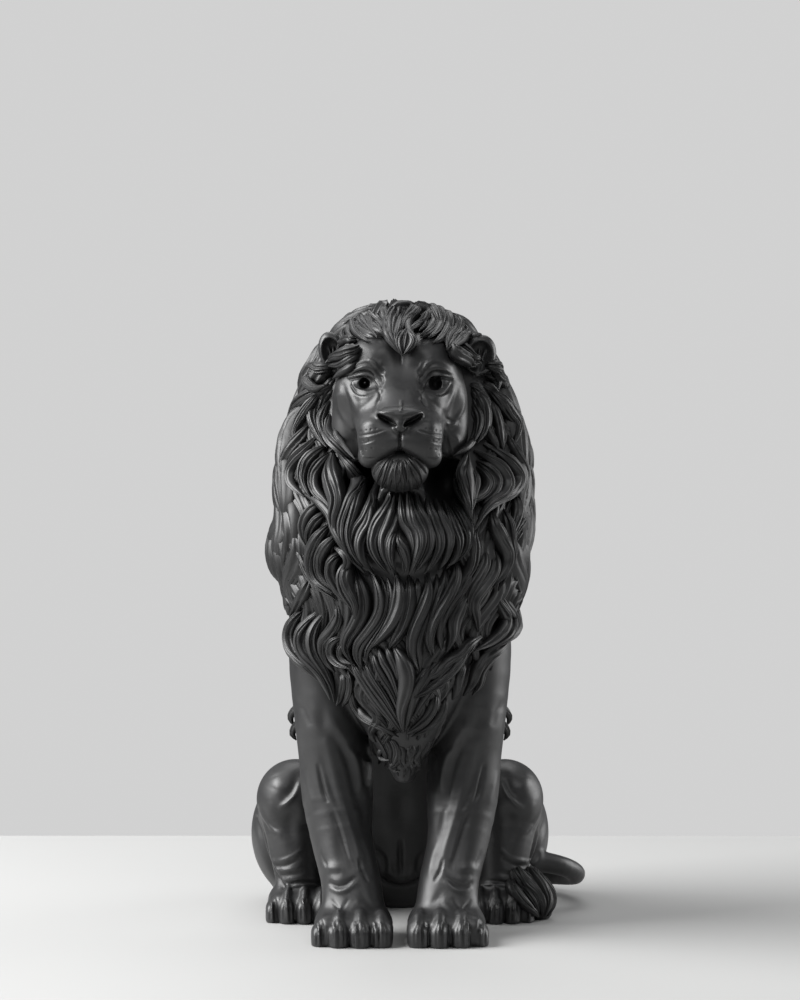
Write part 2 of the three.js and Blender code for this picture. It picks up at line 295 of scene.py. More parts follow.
def limb(stations, count=14):
    """A limb as a form, through stations (x, y, z, half width along X, half depth)."""
    rows = spline(stations, count).astype(np.float32)
    girth = rows[:, 3:].max()

    def distance(x, y, z):
        nearest = None
        for a, b in zip(rows[:-1], rows[1:]):
            d = b[:3] - a[:3]
            t = (x - a[0]) * d[0] + (y - a[1]) * d[1] + (z - a[2]) * d[2]
            t = np.clip(t / max(float(d @ d), 1e-6), 0.0, 1.0)
            wide = a[3] + (b[3] - a[3]) * t
            deep = a[4] + (b[4] - a[4]) * t
            gone = np.sqrt(
                ((x - a[0] - d[0] * t) * (deep / wide)) ** 2
                + (y - a[1] - d[1] * t) ** 2
                + (z - a[2] - d[2] * t) ** 2
            ) - deep
            nearest = gone if nearest is None else np.minimum(nearest, gone)
        return nearest

    return distance, rows[:, :3].min(0) - girth, rows[:, :3].max(0) + girth


def mirrored(rows, side):
    """Stations on one side of the lion: side is 1 where x is above nought, or else -1."""
    return [(side * row[0], *row[1:]) for row in rows]


def segment_distance(points, a, b):
    """Distances from points to the line from a to b, and how far along it each is nearest, from 0 to 1."""
    d = b - a
    t = np.clip(((points - a) @ d) / max(float(d @ d), 1e-9), 0.0, 1.0)
    return np.linalg.norm(points - a - t[:, None] * d, axis=1), t


class Skin:
    """A sculpted surface: vertices in millimetres, faces, and strokes that move the vertices."""

    FACING = 0.05  # how much a place has to face the camera to take a stroke

    def __init__(self, points, quads):
        self.co = points
        self.quads = quads
        self.find_normals()

    def find_normals(self):
        a, b, c, d = (self.co[self.quads[:, k]] for k in range(4))
        face = np.cross(c - a, d - b)
        total = np.zeros_like(self.co)
        for k in range(4):
            for axis in range(3):
                total[:, axis] += np.bincount(self.quads[:, k], face[:, axis], len(self.co))
        self.normal = total / np.maximum(np.linalg.norm(total, axis=1, keepdims=True), 1e-9)

    def neighbours(self):
        edges = np.vstack([self.quads[:, [k, (k + 1) % 4]] for k in range(4)])
        return np.unique(np.sort(edges, axis=1), axis=0)

    def spread(self, values, edges, times):
        """Averages values with their neighbours' a number of times."""
        count = np.bincount(edges.ravel(), minlength=len(self.co)).astype(float)
        for _ in range(times):
            total = np.bincount(edges[:, 0], values[edges[:, 1]], len(self.co))
            total += np.bincount(edges[:, 1], values[edges[:, 0]], len(self.co))
            values = 0.5 * values + 0.5 * total / np.maximum(count, 1)
        return values

    def relax(self, times):
        """Evens the surface out by moving each vertex towards the middle of its neighbours."""
        edges = self.neighbours()
        self.co = np.stack([self.spread(self.co[:, k], edges, times) for k in range(3)], 1)
        self.find_normals()

    def draw(self, strokes, near=(-300.0, 300.0)):
        """Carves (depth below zero) or raises strokes that are drawn in the camera's picture.

        A stroke is (depth in mm, half width in picture points, its points), with soft sides and ends.
        It marks only what lies between two values of y.
        """
        seen = in_picture(self.co)
        view = self.co - EYE
        view /= np.linalg.norm(view, axis=1, keepdims=True)
        front = -(self.normal * view).sum(1)
        amount = np.zeros(len(self.co))
        front[(self.co[:, 1] < near[0]) | (self.co[:, 1] > near[1])] = -1.0
        for depth, half, points in strokes:
            line = spline(points, 4 * len(points)) if len(points) > 1 else np.array(points * 2, float)
            low, high = line.min(0) - 2.5 * half, line.max(0) + 2.5 * half
            touched = np.flatnonzero(
                (seen[:, 0] > low[0]) & (seen[:, 0] < high[0])
                & (seen[:, 1] > low[1]) & (seen[:, 1] < high[1]) & (front > self.FACING)
            )
            if not len(touched):
                continue
            least = np.full(len(touched), 1e9)
            along = np.zeros(len(touched))
            for i, (a, b) in enumerate(zip(line[:-1], line[1:])):
                d, t = segment_distance(seen[touched], a, b)
                better = d < least
                least[better] = d[better]
                along[better] = (i + t[better]) / (len(line) - 1)
            taper = 1.0
            if len(points) > 1:
                taper = 0.35 + 0.65 * np.sin(np.pi * np.clip(along, 0.02, 0.98)) ** 0.5
            amount[touched] += depth * taper * np.exp(-((least / half) ** 2)) * ease(front[touched] / 0.4)
        self.co += self.normal * amount[:, None]
        self.find_normals()

    def to_object(self, name, most_triangles):
        """A Blender object of the surface, thinned where it has more triangles than that."""
        mesh = bpy.data.meshes.new(name)
        mesh.vertices.add(len(self.co))
        mesh.vertices.foreach_set("co", (self.co * MM).astype(np.float32).ravel())
        mesh.loops.add(self.quads.size)
        mesh.loops.foreach_set("vertex_index", self.quads.astype(np.int32).ravel())
        mesh.polygons.add(len(self.quads))
        mesh.polygons.foreach_set("loop_start", np.arange(0, self.quads.size, 4, dtype=np.int32))
        mesh.polygons.foreach_set("loop_total", np.full(len(self.quads), 4, dtype=np.int32))
        mesh.update(calc_edges=True)
        mesh.validate()
        mesh.shade_smooth()
        piece = new_object(name, mesh)
        triangles = 2 * len(self.quads)
        if triangles > most_triangles:
            thin = piece.modifiers.new("thin", "DECIMATE")
            thin.ratio = most_triangles / triangles
            finish_modifiers(piece)
        return piece


def finish_modifiers(piece):
    """Replaces the piece's mesh by its evaluated one, and removes the modifiers."""
    depsgraph = bpy.context.evaluated_depsgraph_get()
    made = bpy.data.meshes.new_from_object(piece.evaluated_get(depsgraph), depsgraph=depsgraph)
    piece.modifiers.clear()
    piece.data = made
    made.shade_smooth()


# Face. Forms are in millimetres; strokes are in the camera's picture, drawn for the picture's left half.
# Each stroke: how far it raises the skin in mm (below zero, it carves), half width in picture points, its line
FACE_AXIS = 401.0
BOTH = read_rows("""
    # lids and folds round the eye
    -1.2 1.1: 350 379.5, 356 378.4, 361 377.6, 368 377.4, 373 379.5, 378 387
    1.0 1.2: 349 377.6, 357 375.2, 364 374.6, 371 376, 376 381.5, 379 387
    -0.8 0.9: 354 373.4, 361 371.4, 368 371.6, 373.5 375.5, 376 380
    0.6 1.8: 352 373, 358 369, 365 366.8, 372 369, 376.5 375.5, 380 384
    -0.3 1.3: 353 369, 360 364.8, 368 363.6, 374 366.4
    0.9 1.1: 352.5 383, 355.5 388, 362 391, 369 391.6, 376 389
    -1.0 1.0: 351 385.5, 354 390.5, 358 393.4, 365 394.6
    0.35 1.8: 354 394.5, 360 397, 367 397
    -0.5 1.2: 377 389, 379.5 393, 380 399
    # the brow over the eye, the shadow under it and the hollow at the eye's inner corner
    0.5 3.2: 352 366, 360 362, 370 361, 378 364
    -0.9 1.7: 352 375.8, 358 372.6, 366 371.8, 373 375
    -1.2 3.0: 378 374, 380.5 380, 379 387
    # folds of the inner brow
    1.2 2.4: 371 361, 375 365, 378.5 370.5
    0.45 1.5: 380 362, 382 367, 386 371, 384.5 377
    -0.6 1.3: 376 369.5, 379 374, 382.5 378, 382.5 382
    0.4 1.0: 377 372.5, 381 374.5, 384 375
    # long fold from the eye down round the muzzle, with a finer one beside it
    0.25 2.6: 384 384, 381 391, 376.5 399, 368.5 406, 362 416, 359.5 429
    -0.6 1.5: 383 391, 378.5 401, 374 410
    -0.25 2.2: 376.5 392, 370.5 401, 361 409
    # nose pad's top edge, wing and lower edge
    0.25 1.3: 376 410.5, 383 412.6, 391 411.6, 401 410.6
    -0.5 0.9: 386 413.6, 394 415, 401 416
    0.6 0.8: 391 423, 396 427.5, 400.5 431.5
    # lip: crease of the whisker rows and the dots in them
    -0.5 0.9: 359.5 435.6, 366 434.8, 374 433.4, 383 430.6
    0.45 1.0: 359.5 438, 367 437, 376 434.8, 385 431.6
    -0.35 0.8: 361 443.5, 367 442.4, 374 440
    0.25 0.9: 361 445.4, 368 444, 375 441.6
    -0.4 0.9: 364 458, 369 458.6, 374 458
    -0.5 2.6: 357.5 402, 356.5 420, 356 440, 357 456
    # cheek: two ridges with a long hollow between them
    -1.3 3.2: 343 386, 345 396, 348.5 407, 353 418
    0.9 2.4: 337 396, 340 409, 346 420, 352 428
    0.5 2.4: 349 392, 352.5 400, 355 409
""") + [(-0.55, 0.75, [spot]) for spot in (
    (361, 431.5), (366, 430.4), (371, 429.6), (376, 428.8), (363, 441), (369, 440),
    (361, 450.4), (366, 449.8), (372, 448), (363, 455),
)]
MIDDLE = read_rows("""
    -0.4 0.9: 401 349, 401 356, 401 363
    -1.5 9.0: 401 340, 401 358, 401 384
    0.9 1.1: 401 401, 401 411
    0.5 0.8: 396 413.4, 401 414.6, 407 413.2
    -1.2 0.9: 400.5 431, 400 440, 400 450
    0.8 7.0: 386 346, 378 353, 370 359
    0.8 7.0: 416 346, 424 353, 432 359
""")
RIGHT_CHEEK = read_rows("""
    -0.8 2.2: 444 411, 446 418, 451 421, 458 420
    0.5 2.0: 445 420, 450 424.5, 458 425
    0.4 1.8: 441.5 420, 445 429, 450 434
    1.0 3.6: 450 434, 457 440, 456 450
    -0.8 1.6: 446 438, 449 447, 451 455
    -0.6 1.2: 420 399, 423 403, 426 406
""")


def flipped(strokes):
    """The strokes, mirrored in the picture about the middle of the face."""
    return [(depth, half, [(2 * FACE_AXIS - x, y) for x, y in points]) for depth, half, points in strokes]


def ear(clay, side, at, wide):
    """A rounded ear that opens forwards, with a rim round its hollow and hair lines in it."""
    x, y, z = at
    lean = (0, side * 16, side * 14)
    clay.join(egg((x, y, z), (wide, 6.5, 13), lean), 1.5)
    clay.carve(egg((x + side * 0.3, y - 7.5, z - 1.5), (wide - 1.5, 9.5, 11.2), lean), 0.7)
    for i in range(4):
        bend = (i - 1.5) * 0.24
        root = (x - side * 2, y - 1.5, z - 12)
        tip = (x - side * 2 + wide * 1.5 * bend, y + 0.8, z + 4 - 3 * abs(bend))
        clay.join(limb([(*root, 1.2, 1.2), (*tip, 0.7, 0.7)], 3), 0.8)


def sculpt_head():
    """The head's clay, and its skin with the face drawn on it."""
    finest = 0.6
    clay = Clay((-62, -214, 264), (72, -112, 388), finest)
    clay.join(egg((0, -132, 344), (41, 45, 40)), 6)
    clay.join(egg((0, -130, 318), (38, 32, 36)), 8)
    for side in (1, -1):
        # Forehead, brow, temple and cheek
        clay.join(egg((side * 15, -156, 363), (18, 17, 15)), 8)
        clay.join(egg((side * 20, -160.5, 357), (14, 13.5, 7), (0, side * 10, 0)), 5)
        clay.join(egg((side * 29.5, -152, 342), (11, 17, 12)), 7)
        clay.join(egg((side * 29.5, -145, 320), (13.5, 16.5, 27)), 8)
        clay.join(egg((side * 16.5, -166.5, 333), (13.5, 17.5, 17.5)), 9)
    # Bridge of the nose, broad and flat, and the muzzle in front of it
    clay.join(limb([(0, -157, 356, 11.5, 9), (0, -172, 343.5, 12, 9.5), (0, -190, 328, 14.5, 9)], 8), 7)
    clay.join(block((0, -172, 315), (24, 22, 16), 12), 7)
    for side in (1, -1):
        clay.join(limb([(side * 3.2, -197.5, 312.6, 4.6, 6.2), (side * 8.5, -194.5, 312, 7, 9),
                        (side * 14, -189.5, 312, 9, 13), (side * 17.3, -185.5, 312, 8.5, 15.5)], 10), 1.2)
        clay.join(limb([(side * 4, -196, 313.5, 5, 6.6), (side * 12, -193.5, 308.8, 7.5, 7.8),
                        (side * 18.8, -188, 303.5, 7, 8)], 6), 1.2)
        clay.join(egg((side * 15, -183, 322), (10, 16, 5), (0, side * 14, 0)), 9)
    # Mouth, then the chin under it
    for side in (1, -1):
        clay.carve(limb([(0, -206, 305, 2.0, 1.6), (side * 9, -204, 299.5, 2.2, 2.2),
                         (side * 17, -196, 294, 2.4, 3), (side * 25, -186, 289, 2.4, 3.5)], 12), 1.5)
    for form in THROAT:
        clay.carve(egg(*form), 4)
    clay.join(egg((0, -186, 294.3), (17.5, 15.5, 13.4)), 1)
    # Eyes: a hollow, the ball in it and the drilled iris
    for side, iris in ((1, (4.3, 4.8)), (-1, (3.6, 3.6))):
        clay.carve(egg((side * 23, -183, 348), (10.4, 12, 6.8), (0, side * 8, side * 10)), 3)
        clay.join(egg((side * 22, -165.4, 347.4), (9.2, 7.8, 7.2)), 0.8)
        clay.carve(egg((side * 22, -175, 347.8), (iris[0], 11, iris[1])), 0.4)
    clay.join(egg((-21.6, -169, 348.2), (1.0, 4.0, 1.0)), 0.3)
    # Nose pad, a wide wedge, over nostrils that slant up and out
    for side in (1, -1):
        clay.join(egg((side * 8, -192.5, 318), (8.5, 9.5, 6.5)), 3)
    clay.join(egg((0, -199, 328.6), (14.5, 8, 4.8)), 1.5)
    clay.join(egg((0, -200.5, 323), (4.6, 6.5, 6.5)), 2)
    for side in (1, -1):
        clay.carve(egg((side * 8.2, -203.5, 325), (7.4, 8, 2.1), (0, side * -30, 0)), 0.7)
    ear(clay, 1, (50.5, -131.0, 366.5), 10.5)
    ear(clay, -1, (-43.0, -131.0, 368.5), 8.5)
    skin = Skin(*clay.skin())
    skin.relax(1)
    skin.draw(BOTH + flipped(BOTH) + MIDDLE + RIGHT_CHEEK)
    return clay, skin


# Stations of the trunk: x, y, z, half width, half depth
TRUNK = [
    (0, 2, -30, 54, 44), (0, 1, 10, 57, 45), (0, -4, 45, 59, 49), (0, -18, 88, 56, 50),
    (0, -42, 132, 55, 50), (0, -70, 178, 58, 53), (0, -94, 220, 58, 54), (0, -110, 258, 50, 48),
]
FORELEG = [
    (46, -110, 192, 20, 30), (47, -113, 165, 23, 31), (44.5, -117, 138, 23.3, 29),
    (41.5, -119, 112, 23.3, 26), (39.8, -124, 86, 22.8, 23), (36.8, -134.5, 59, 19.4, 18.8),
    (31, -146, 35, 18.8, 16.5), (29, -157, 15, 20, 15),
]
TAIL = [
    (0, 30, 26, 10, 10), (34, 48, 14, 8, 8), (78, 44, 11, 7, 7), (109, 14, 13, 6.5, 6.5),
    (118.5, -20, 19, 6.5, 6.5), (110, -40, 27, 6.5, 6.5), (92, -49, 32, 7, 7), (77, -58, 32, 7, 7),
]
TUFT = [(73, -58, 37, 5, 5), (80, -70, 28, 9, 7), (87, -79, 16, 11, 8), (91, -84, 5, 8.5, 7)]
# Stations of the mane's body under its locks: z, half width, front y, back y
MANE = [
    (98, 5, -154, -136), (124, 21, -166, -108), (150, 39, -175, -76), (180, 54, -181, -46),
    (196, 58, -182, -36), (214, 69, -183, -28), (242, 72, -184, -28), (270, 74, -178, -38),
    (300, 74, -163, -50), (328, 67, -149, -60), (354, 57.5, -143, -70), (374, 45, -139, -82),
    (387, 31, -136, -94), (395, 11, -131, -112),
]
# Hollows beside the throat, in the head and in the mane: centre, half sizes
THROAT = (((30, -160, 286), (14, 32, 16)), ((-23.5, -164, 285), (11.5, 30, 15)))
# Middles across of the forepaws, the mane and the hind paws, and the y of the toes' fronts
LEG_X = 29.4
MANE_X = 2.5
HIND_X = 66.0
TOE_FRONT = -192.0
HIND_TOE_FRONT = -108.0


def mane_core():
    """The mane's body as a form: ellipses across, on a smooth curve through the stations."""
    steps = 12  # from one station to the next
    stations = np.array(MANE, float)
    heights = np.linspace(stations[0, 0], stations[-1, 0], 160)
    t = np.interp(heights, stations[:, 0], np.arange(len(stations)))
    smooth = spline(MANE, steps * (len(MANE) - 1) + 1)
    rows = [np.interp(t * steps, np.arange(len(smooth)), smooth[:, k]) for k in (1, 2, 3)]

    def distance(x, y, z):
        flat = z.ravel()
        held = np.clip(flat, heights[0], heights[-1])
        wide, front, back = (
            np.interp(held, heights, row).reshape(z.shape).astype(np.float32) for row in rows
        )
        past = np.abs(flat - held).reshape(z.shape).astype(np.float32)
        deep = (back - front) / 2
        v = (y - (front + back) / 2) / deep
        u = (x - MANE_X) / wide
        k0 = np.sqrt(u * u + v * v)
        k1 = np.sqrt((u / wide) ** 2 + (v / deep) ** 2)
        level = k0 * (k0 - 1.0) / np.maximum(k1, 1e-5)
        whole = np.where(past > 0, np.sqrt(np.maximum(level, 0) ** 2 + past**2), level)
        return whole * np.float32(0.92)

    return distance, vec(-76, -184, 96), vec(76, -26, 396)


# Toes of a paw: place across it, share of its width, how much lower each lies and how far it is set back
TOES = ((-0.72, 0.3, 0.5, 1.5), (-0.2, 0.285, 0, 0), (0.34, 0.28, 0, 1), (0.82, 0.22, 6.5, 6))


def paw(clay, side, centre_x, front_y, half_width, length, height):
    """A paw with four toes, each arched to a ridge along its top; the outer toe is smaller and set back."""
    clay.join(egg((side * centre_x, front_y + length * 0.58, 8), (half_width - 1, length * 0.43, 15.5)), 6)
    clay.join(block((side * (centre_x - 0.5), front_y + 23.5, 7.5), (half_width - 1.5, 17.5, 11), 8), 4)
    for offset, share, lower, back in TOES:
        x = side * (centre_x + offset * half_width)
        toe = share * half_width
        top = height - lower
        clay.join(limb([
            (x - side * offset * 2, front_y + length * 0.44 + back, top * 0.5, toe * 0.85, top * 0.32),
            (x, front_y + length * 0.25 + back, top * 0.5, toe * 0.98, top * 0.36),
            (x, front_y + 8.0 + back, top * 0.38, toe, 8.0),
            (x, front_y + 6.6 + back, top * 0.16, toe * 0.97, 6.6),
        ], 8), 0.9)
        clay.join(limb([
            (x - side * offset * 2, front_y + length * 0.42 + back, top * 0.72, toe * 0.42, top * 0.2),
            (x, front_y + length * 0.24 + back, top * 0.76, toe * 0.5, top * 0.24),
            (x, front_y + 6.5 + back, top * 0.5, toe * 0.45, 5.8),
        ], 6), 2.2)


# Carving of the legs and belly, in the camera's picture for its left half, from the nearest to the farthest
FORELEG_MARKS = read_rows("""
    -1.6 2.6: 300 704, 305 713, 309 723
    1.0 3.5: 297 716, 300 730, 303 745
    -2.2 5.0: 322 708, 322 720, 324 730
    1.5 4.0: 331 716, 336 728, 345 742
    -3.0 4.2: 335 738, 343 750, 349 765, 354 785, 358 806
    2.0 3.0: 347 748, 355 757, 359 772, 360 788
    -2.4 4.0: 366 756, 370 766, 368 780
    -2.6 4.5: 362 792, 364 812, 367 832
    1.9 3.6: 326 742, 333 766, 340 796, 349 826, 357 850, 360 868
    -2.6 1.7: 318 766, 320.5 778, 324 793, 327 800
    -1.0 3.0: 322 758, 328 782, 336 806
    1.1 2.2: 324 776, 330 796, 339 816, 346 838, 351 858
    1.2 2.6: 305 775, 309 792, 313 806
    -1.8 2.4: 334 815, 340 832, 346 852, 351 868
    -1.0 3.6: 338 838, 340 850, 342 860
    1.1 2.6: 364 842, 370 858, 373 874
    -1.7 1.5: 359 860, 361.5 870, 367 880
    -0.9 1.3: 321 853, 323.5 860, 327 865
    2.2 4.0: 327 869, 333 868, 341 869
    1.5 4.5: 330 877, 338 880, 346 877
    -1.8 1.8: 331 883, 338 886, 346 884, 354 878
    1.4 2.0: 332 888.5, 339 891.5, 348 889, 356 882
    -1.0 3.0: 360 890, 366 900, 372 907
    1.0 2.2: 352 896, 357 902, 352 909
    -1.2 1.4: 332 901, 337 907, 341 911
    -1.0 1.4: 348 900, 344 906, 341 911
    0.8 2.5: 326 900, 323 910, 321 918
""")
HAUNCH_MARKS = read_rows("""
    1.1 8.0: 275 777, 277 783, 275 789
    0.9 5.5: 269 801, 271 812, 276 820
    -1.6 5.5: 297 776, 293 789, 285 797
    1.3 2.6: 299 784, 294 795, 287 803, 281 807
    -1.3 6.0: 293 812, 289 826, 292 842
    0.9 1.6: 259 803, 263 815, 270 826, 280 835
    -0.8 2.0: 258 810, 263 822, 269 832
    1.3 1.5: 260 812, 264 828, 268 846, 273 860, 279 873, 288 886
    -3.4 2.6: 256 818, 260 836, 265 853, 272 869, 283 886
    0.7 2.0: 275 861, 284 860, 293 856, 301 850
    -0.8 1.7: 277 866, 287 865, 299 859
    0.6 1.6: 279 870, 289 870, 300 866
    -0.6 1.6: 283 875, 293 874, 304 871
    0.6 1.8: 285 880, 294 879, 306 876
    1.0 1.4: 288 888, 297 885.5, 310 884.5, 322 885
    -1.0 1.4: 291 884, 300 882, 314 880
""")
BELLY_MARKS = read_rows("""
    -2.0 2.6: 400 842, 400 858, 400 872
    -2.0 1.6: 381 878, 388 883, 400 885.5, 412 883, 420 878
    1.2 4.0: 388 864, 390 872, 398 878
    1.2 4.0: 414 864, 412 872, 404 878
    -1.0 3.0: 375 850, 383 858, 386 868
    -1.0 3.0: 427 850, 419 858, 416 868
    -2.5 10.0: 400 790, 401 806, 401 822
""")


def toe_marks(toes, top, bottom, rng):
    """Fine hair that fans down each toe, and a claw's ridge near its end. A toe is left, claw, right."""
    marks = []
    for left, claw, right in toes:
        half = (right - left) / 2
        middle = (left + right) / 2
        for i in range(4):
            out = (i - 1.5) * 0.5
            start = top + 3 + 5 * abs(out) + rng.uniform(0, 4)
            x = middle + out * half * 0.8
            hair = [(middle + out * half * 0.3, start), (x, start + 10), (x + 0.5 * out, bottom - 5)]
            marks.append((-0.6, 0.85, hair))
        marks += [
            (1.2, 1.0, [(claw - 1.0, top + 11), (claw, top + 20), (claw + 0.5, bottom - 3)]),
            (-1.2, 1.3, [(claw + 2.6, top + 12), (claw + 3.2, top + 21), (claw + 3.4, bottom - 4)]),
            (-0.5, 1.0, [(claw - 3, top + 14), (claw - 2.4, bottom - 6)]),
        ]
    return marks


def carve_body(skin):
    """Draws the marks of the legs, paws, haunches and belly, each group between its own values of y."""
    rng = np.random.default_rng(5)
    front = toe_marks([(315, 319, 326), (327, 335, 348), (350, 356, 369), (371, 375.5, 391)], 912, 950, rng)
    hind = toe_marks([(268, 272, 279), (280, 287, 297), (298, 304, 316)], 889, 925, rng)
    legs = [(0.55 * depth, 1.2 * half, points) for depth, half, points in FORELEG_MARKS]
    skin.draw(legs + flipped(legs), near=(-230, -84))
    skin.draw(front + flipped(front), near=(-230, -140))
    skin.draw(HAUNCH_MARKS + flipped(HAUNCH_MARKS), near=(-100, 60))
    skin.draw(hind + flipped(hind), near=(-112, -50))
    skin.draw(BELLY_MARKS, near=(-80, 60))


def add_mane(clay):
    """The mane's body, with the bib and the hollows round the chin."""
    clay.join(mane_core(), 5)
    # The bib of hair under the chin, whose lower edge stands out as a lip
    clay.join(egg((2, -150, 264), (46, 37, 30)), 9)
    clay.join(limb([(-40, -156, 256, 13, 11), (-22, -171, 248, 15, 12.5), (2, -179, 245, 16, 13),
                    (26, -171, 248, 15, 12.5), (44, -156, 258, 13, 11)], 10), 5)
    # A fuller crown and a bulge, each on one side
    clay.join(egg((18, -122, 380), (22, 16, 13)), 8)
    clay.join(egg((-57, -100, 243), (20, 34, 20)), 6)
    # Hollows under the chin and beside it
    clay.carve(egg((0, -188, 276), (21, 15, 8)), 5)
    clay.carve(egg((31, -178, 285), (15, 25, 20)), 5)
    clay.carve(egg((-26, -176, 284), (7, 18, 14)), 4)
    for form in THROAT:
        clay.carve(egg(*form), 4)
    # The groove under the bib's lip
    clay.carve(limb([(-36, -170, 246, 6, 6), (-18, -186, 234, 6, 7), (3, -190, 229, 6, 7),
                     (24, -186, 234, 6, 7), (42, -170, 246, 6, 6)], 10), 2.5)


def sculpt_body(clay):
    """The whole lion but for its face, on a grid of any size."""
    clay.join(limb(TRUNK, 16), 6)
    for side in (1, -1):
        clay.join(egg((side * 60, -24, 48), (40, 58, 46), (-20, 0, 0)), 10)
        clay.join(egg((side * 69, -64, 76), (25.5, 28, 26)), 9)
        clay.join(limb([(side * 72, -66, 72, 20, 20), (side * 69, -74, 46, 17, 17),
                        (side * 66, -76, 20, 14, 17)]), 3)
        clay.join(limb([(side * 64, -4, 10, 17, 12), (side * 65, -50, 11, 18, 13),
                        (side * 66, -80, 12, 18, 13)]), 5)
        clay.join(egg((side * 43, -108, 184), (28, 40, 48), (6, 0, 0)), 14)
        clay.join(limb(mirrored(FORELEG, side), 20), 7)
        clay.join(egg((side * 56, -92, 126), (9, 9, 16)), 5)
        paw(clay, side, LEG_X, TOE_FRONT, 24.8, 62, 21.5)
        paw(clay, side, HIND_X, HIND_TOE_FRONT, 20.5, 60, 22.5)
    clay.join(limb(TAIL, 40), 4)
    clay.join(limb(TUFT), 3)
    add_mane(clay)
    clay.cut_flat(0.0)
    return clay


class Tree:
    """A short way to write a node tree."""

    def __init__(self, tree):
        self.tree, self.nodes, self.links = tree, tree.nodes, tree.links

    def give(self, socket, value):
        """Links a socket to another one, or sets its value."""
        if isinstance(value, bpy.types.NodeSocket):
            self.links.new(value, socket)
        else:
            socket.default_value = value

    def node(self, kind, settings=None, **inputs):
        made = self.nodes.new(kind)
        for key, value in (settings or {}).items():
            setattr(made, key, value)
        for key, value in inputs.items():
            self.give(made.inputs[key.replace("_", " ")], value)
        return made

    def math(self, operation, *values):
        """The result of a calculation with numbers or sockets."""
        made = self.node("ShaderNodeMath", {"operation": operation})
        for socket, value in zip(made.inputs, values):
            self.give(socket, value)
        return made.outputs[0]

    def vector(self, operation, *values, scale=None):
        """The result of a calculation with vectors."""
        made = self.node("ShaderNodeVectorMath", {"operation": operation})
        for socket, value in zip(made.inputs, values):
            self.give(socket, value)
        if scale is not None:
            self.give(made.inputs["Scale"], scale)
        return made.outputs["Vector"]

    def choose(self, test, where_true, where_false):
        """One of two values, by a test that gives 1 or 0."""
        mix = self.node("ShaderNodeMix", {"data_type": "FLOAT"}, Factor=test)
        self.give(mix.inputs[2], where_false)
        self.give(mix.inputs[3], where_true)
        return mix.outputs[0]

    def named(self, label, kind="FLOAT"):
        """A stored attribute of the mesh or curve."""
        made = self.node("GeometryNodeInputNamedAttribute", {"data_type": kind}, Name=label)
        return made.outputs["Attribute"]

    def store(self, geometry, label, value, kind="FLOAT"):
        """The geometry, with an attribute stored on its points."""
        made = self.node("GeometryNodeStoreNamedAttribute", {"data_type": kind, "domain": "POINT"},
                         Geometry=geometry, Name=label, Value=value)
        return made.outputs["Geometry"]


def build_camera():
    camera = bpy.data.cameras.new("camera")
    camera.lens = LENS
    camera.sensor_width = SENSOR
    holder = new_object("camera", camera)
    holder.location = (0.0, CAMERA_Y * MM, CAMERA_HEIGHT * MM)
    holder.rotation_euler = (math.pi / 2 - CAMERA_DOWN, 0, 0)
    bpy.context.scene.camera = holder


def build_studio():
    """A pale floor, a grey surround that looks brighter than it lights, and four soft lights."""
    floor = bpy.data.meshes.new("floor")
    wide, back = 2.5, 0.29
    corners = [(-wide, -wide, 0), (wide, -wide, 0), (wide, back, 0), (-wide, back, 0)]
    floor.from_pydata(corners, [], [(0, 1, 2, 3)])
    holder = new_object("floor", floor)
    pale = bpy.data.materials.new("pale_floor")
    pale.use_nodes = True
    surface = pale.node_tree.nodes["Principled BSDF"]
    surface.inputs["Base Color"].default_value = (0.37, 0.37, 0.366, 1)
    surface.inputs["Roughness"].default_value = 0.6
    floor.materials.append(pale)
    world = bpy.data.worlds.new("studio")
    world.use_nodes = True
    t = Tree(world.node_tree)
    room = t.nodes["Background"]
    room.inputs["Color"].default_value = (0.8, 0.82, 0.84, 1)
    room.inputs["Strength"].default_value = 0.2
    seen = t.node("ShaderNodeBackground", Color=(0.8, 0.8, 0.8, 1), Strength=0.8)
    mix = t.node("ShaderNodeMixShader", Fac=t.node("ShaderNodeLightPath").outputs["Is Camera Ray"])
    t.give(mix.inputs[1], room.outputs["Background"])
    t.give(mix.inputs[2], seen.outputs["Background"])
    t.give(t.nodes["World Output"].inputs["Surface"], mix.outputs["Shader"])
    bpy.context.scene.world = world
    for name, place, size, power in (
        ("left_softbox", (-1.53, -0.37, 1.31), 1.5, 110),
        ("right_softbox", (1.75, 0.54, 0.62), 1.2, 25),
        ("top_softbox", (0.0, 0.85, 1.87), 1.3, 14),
        ("front_softbox", (0.46, -1.36, 1.56), 1.2, 10),
    ):
        light = bpy.data.lights.new(name, "AREA")
        light.size = size
        light.energy = power
        lamp = new_object(name, light)
        lamp.location = place
        aim = Vector((0, -0.1, 0.25)) - Vector(place)
        lamp.rotation_euler = aim.to_track_quat("-Z", "Y").to_euler()
    bpy.context.scene.view_settings.view_transform = "Standard"


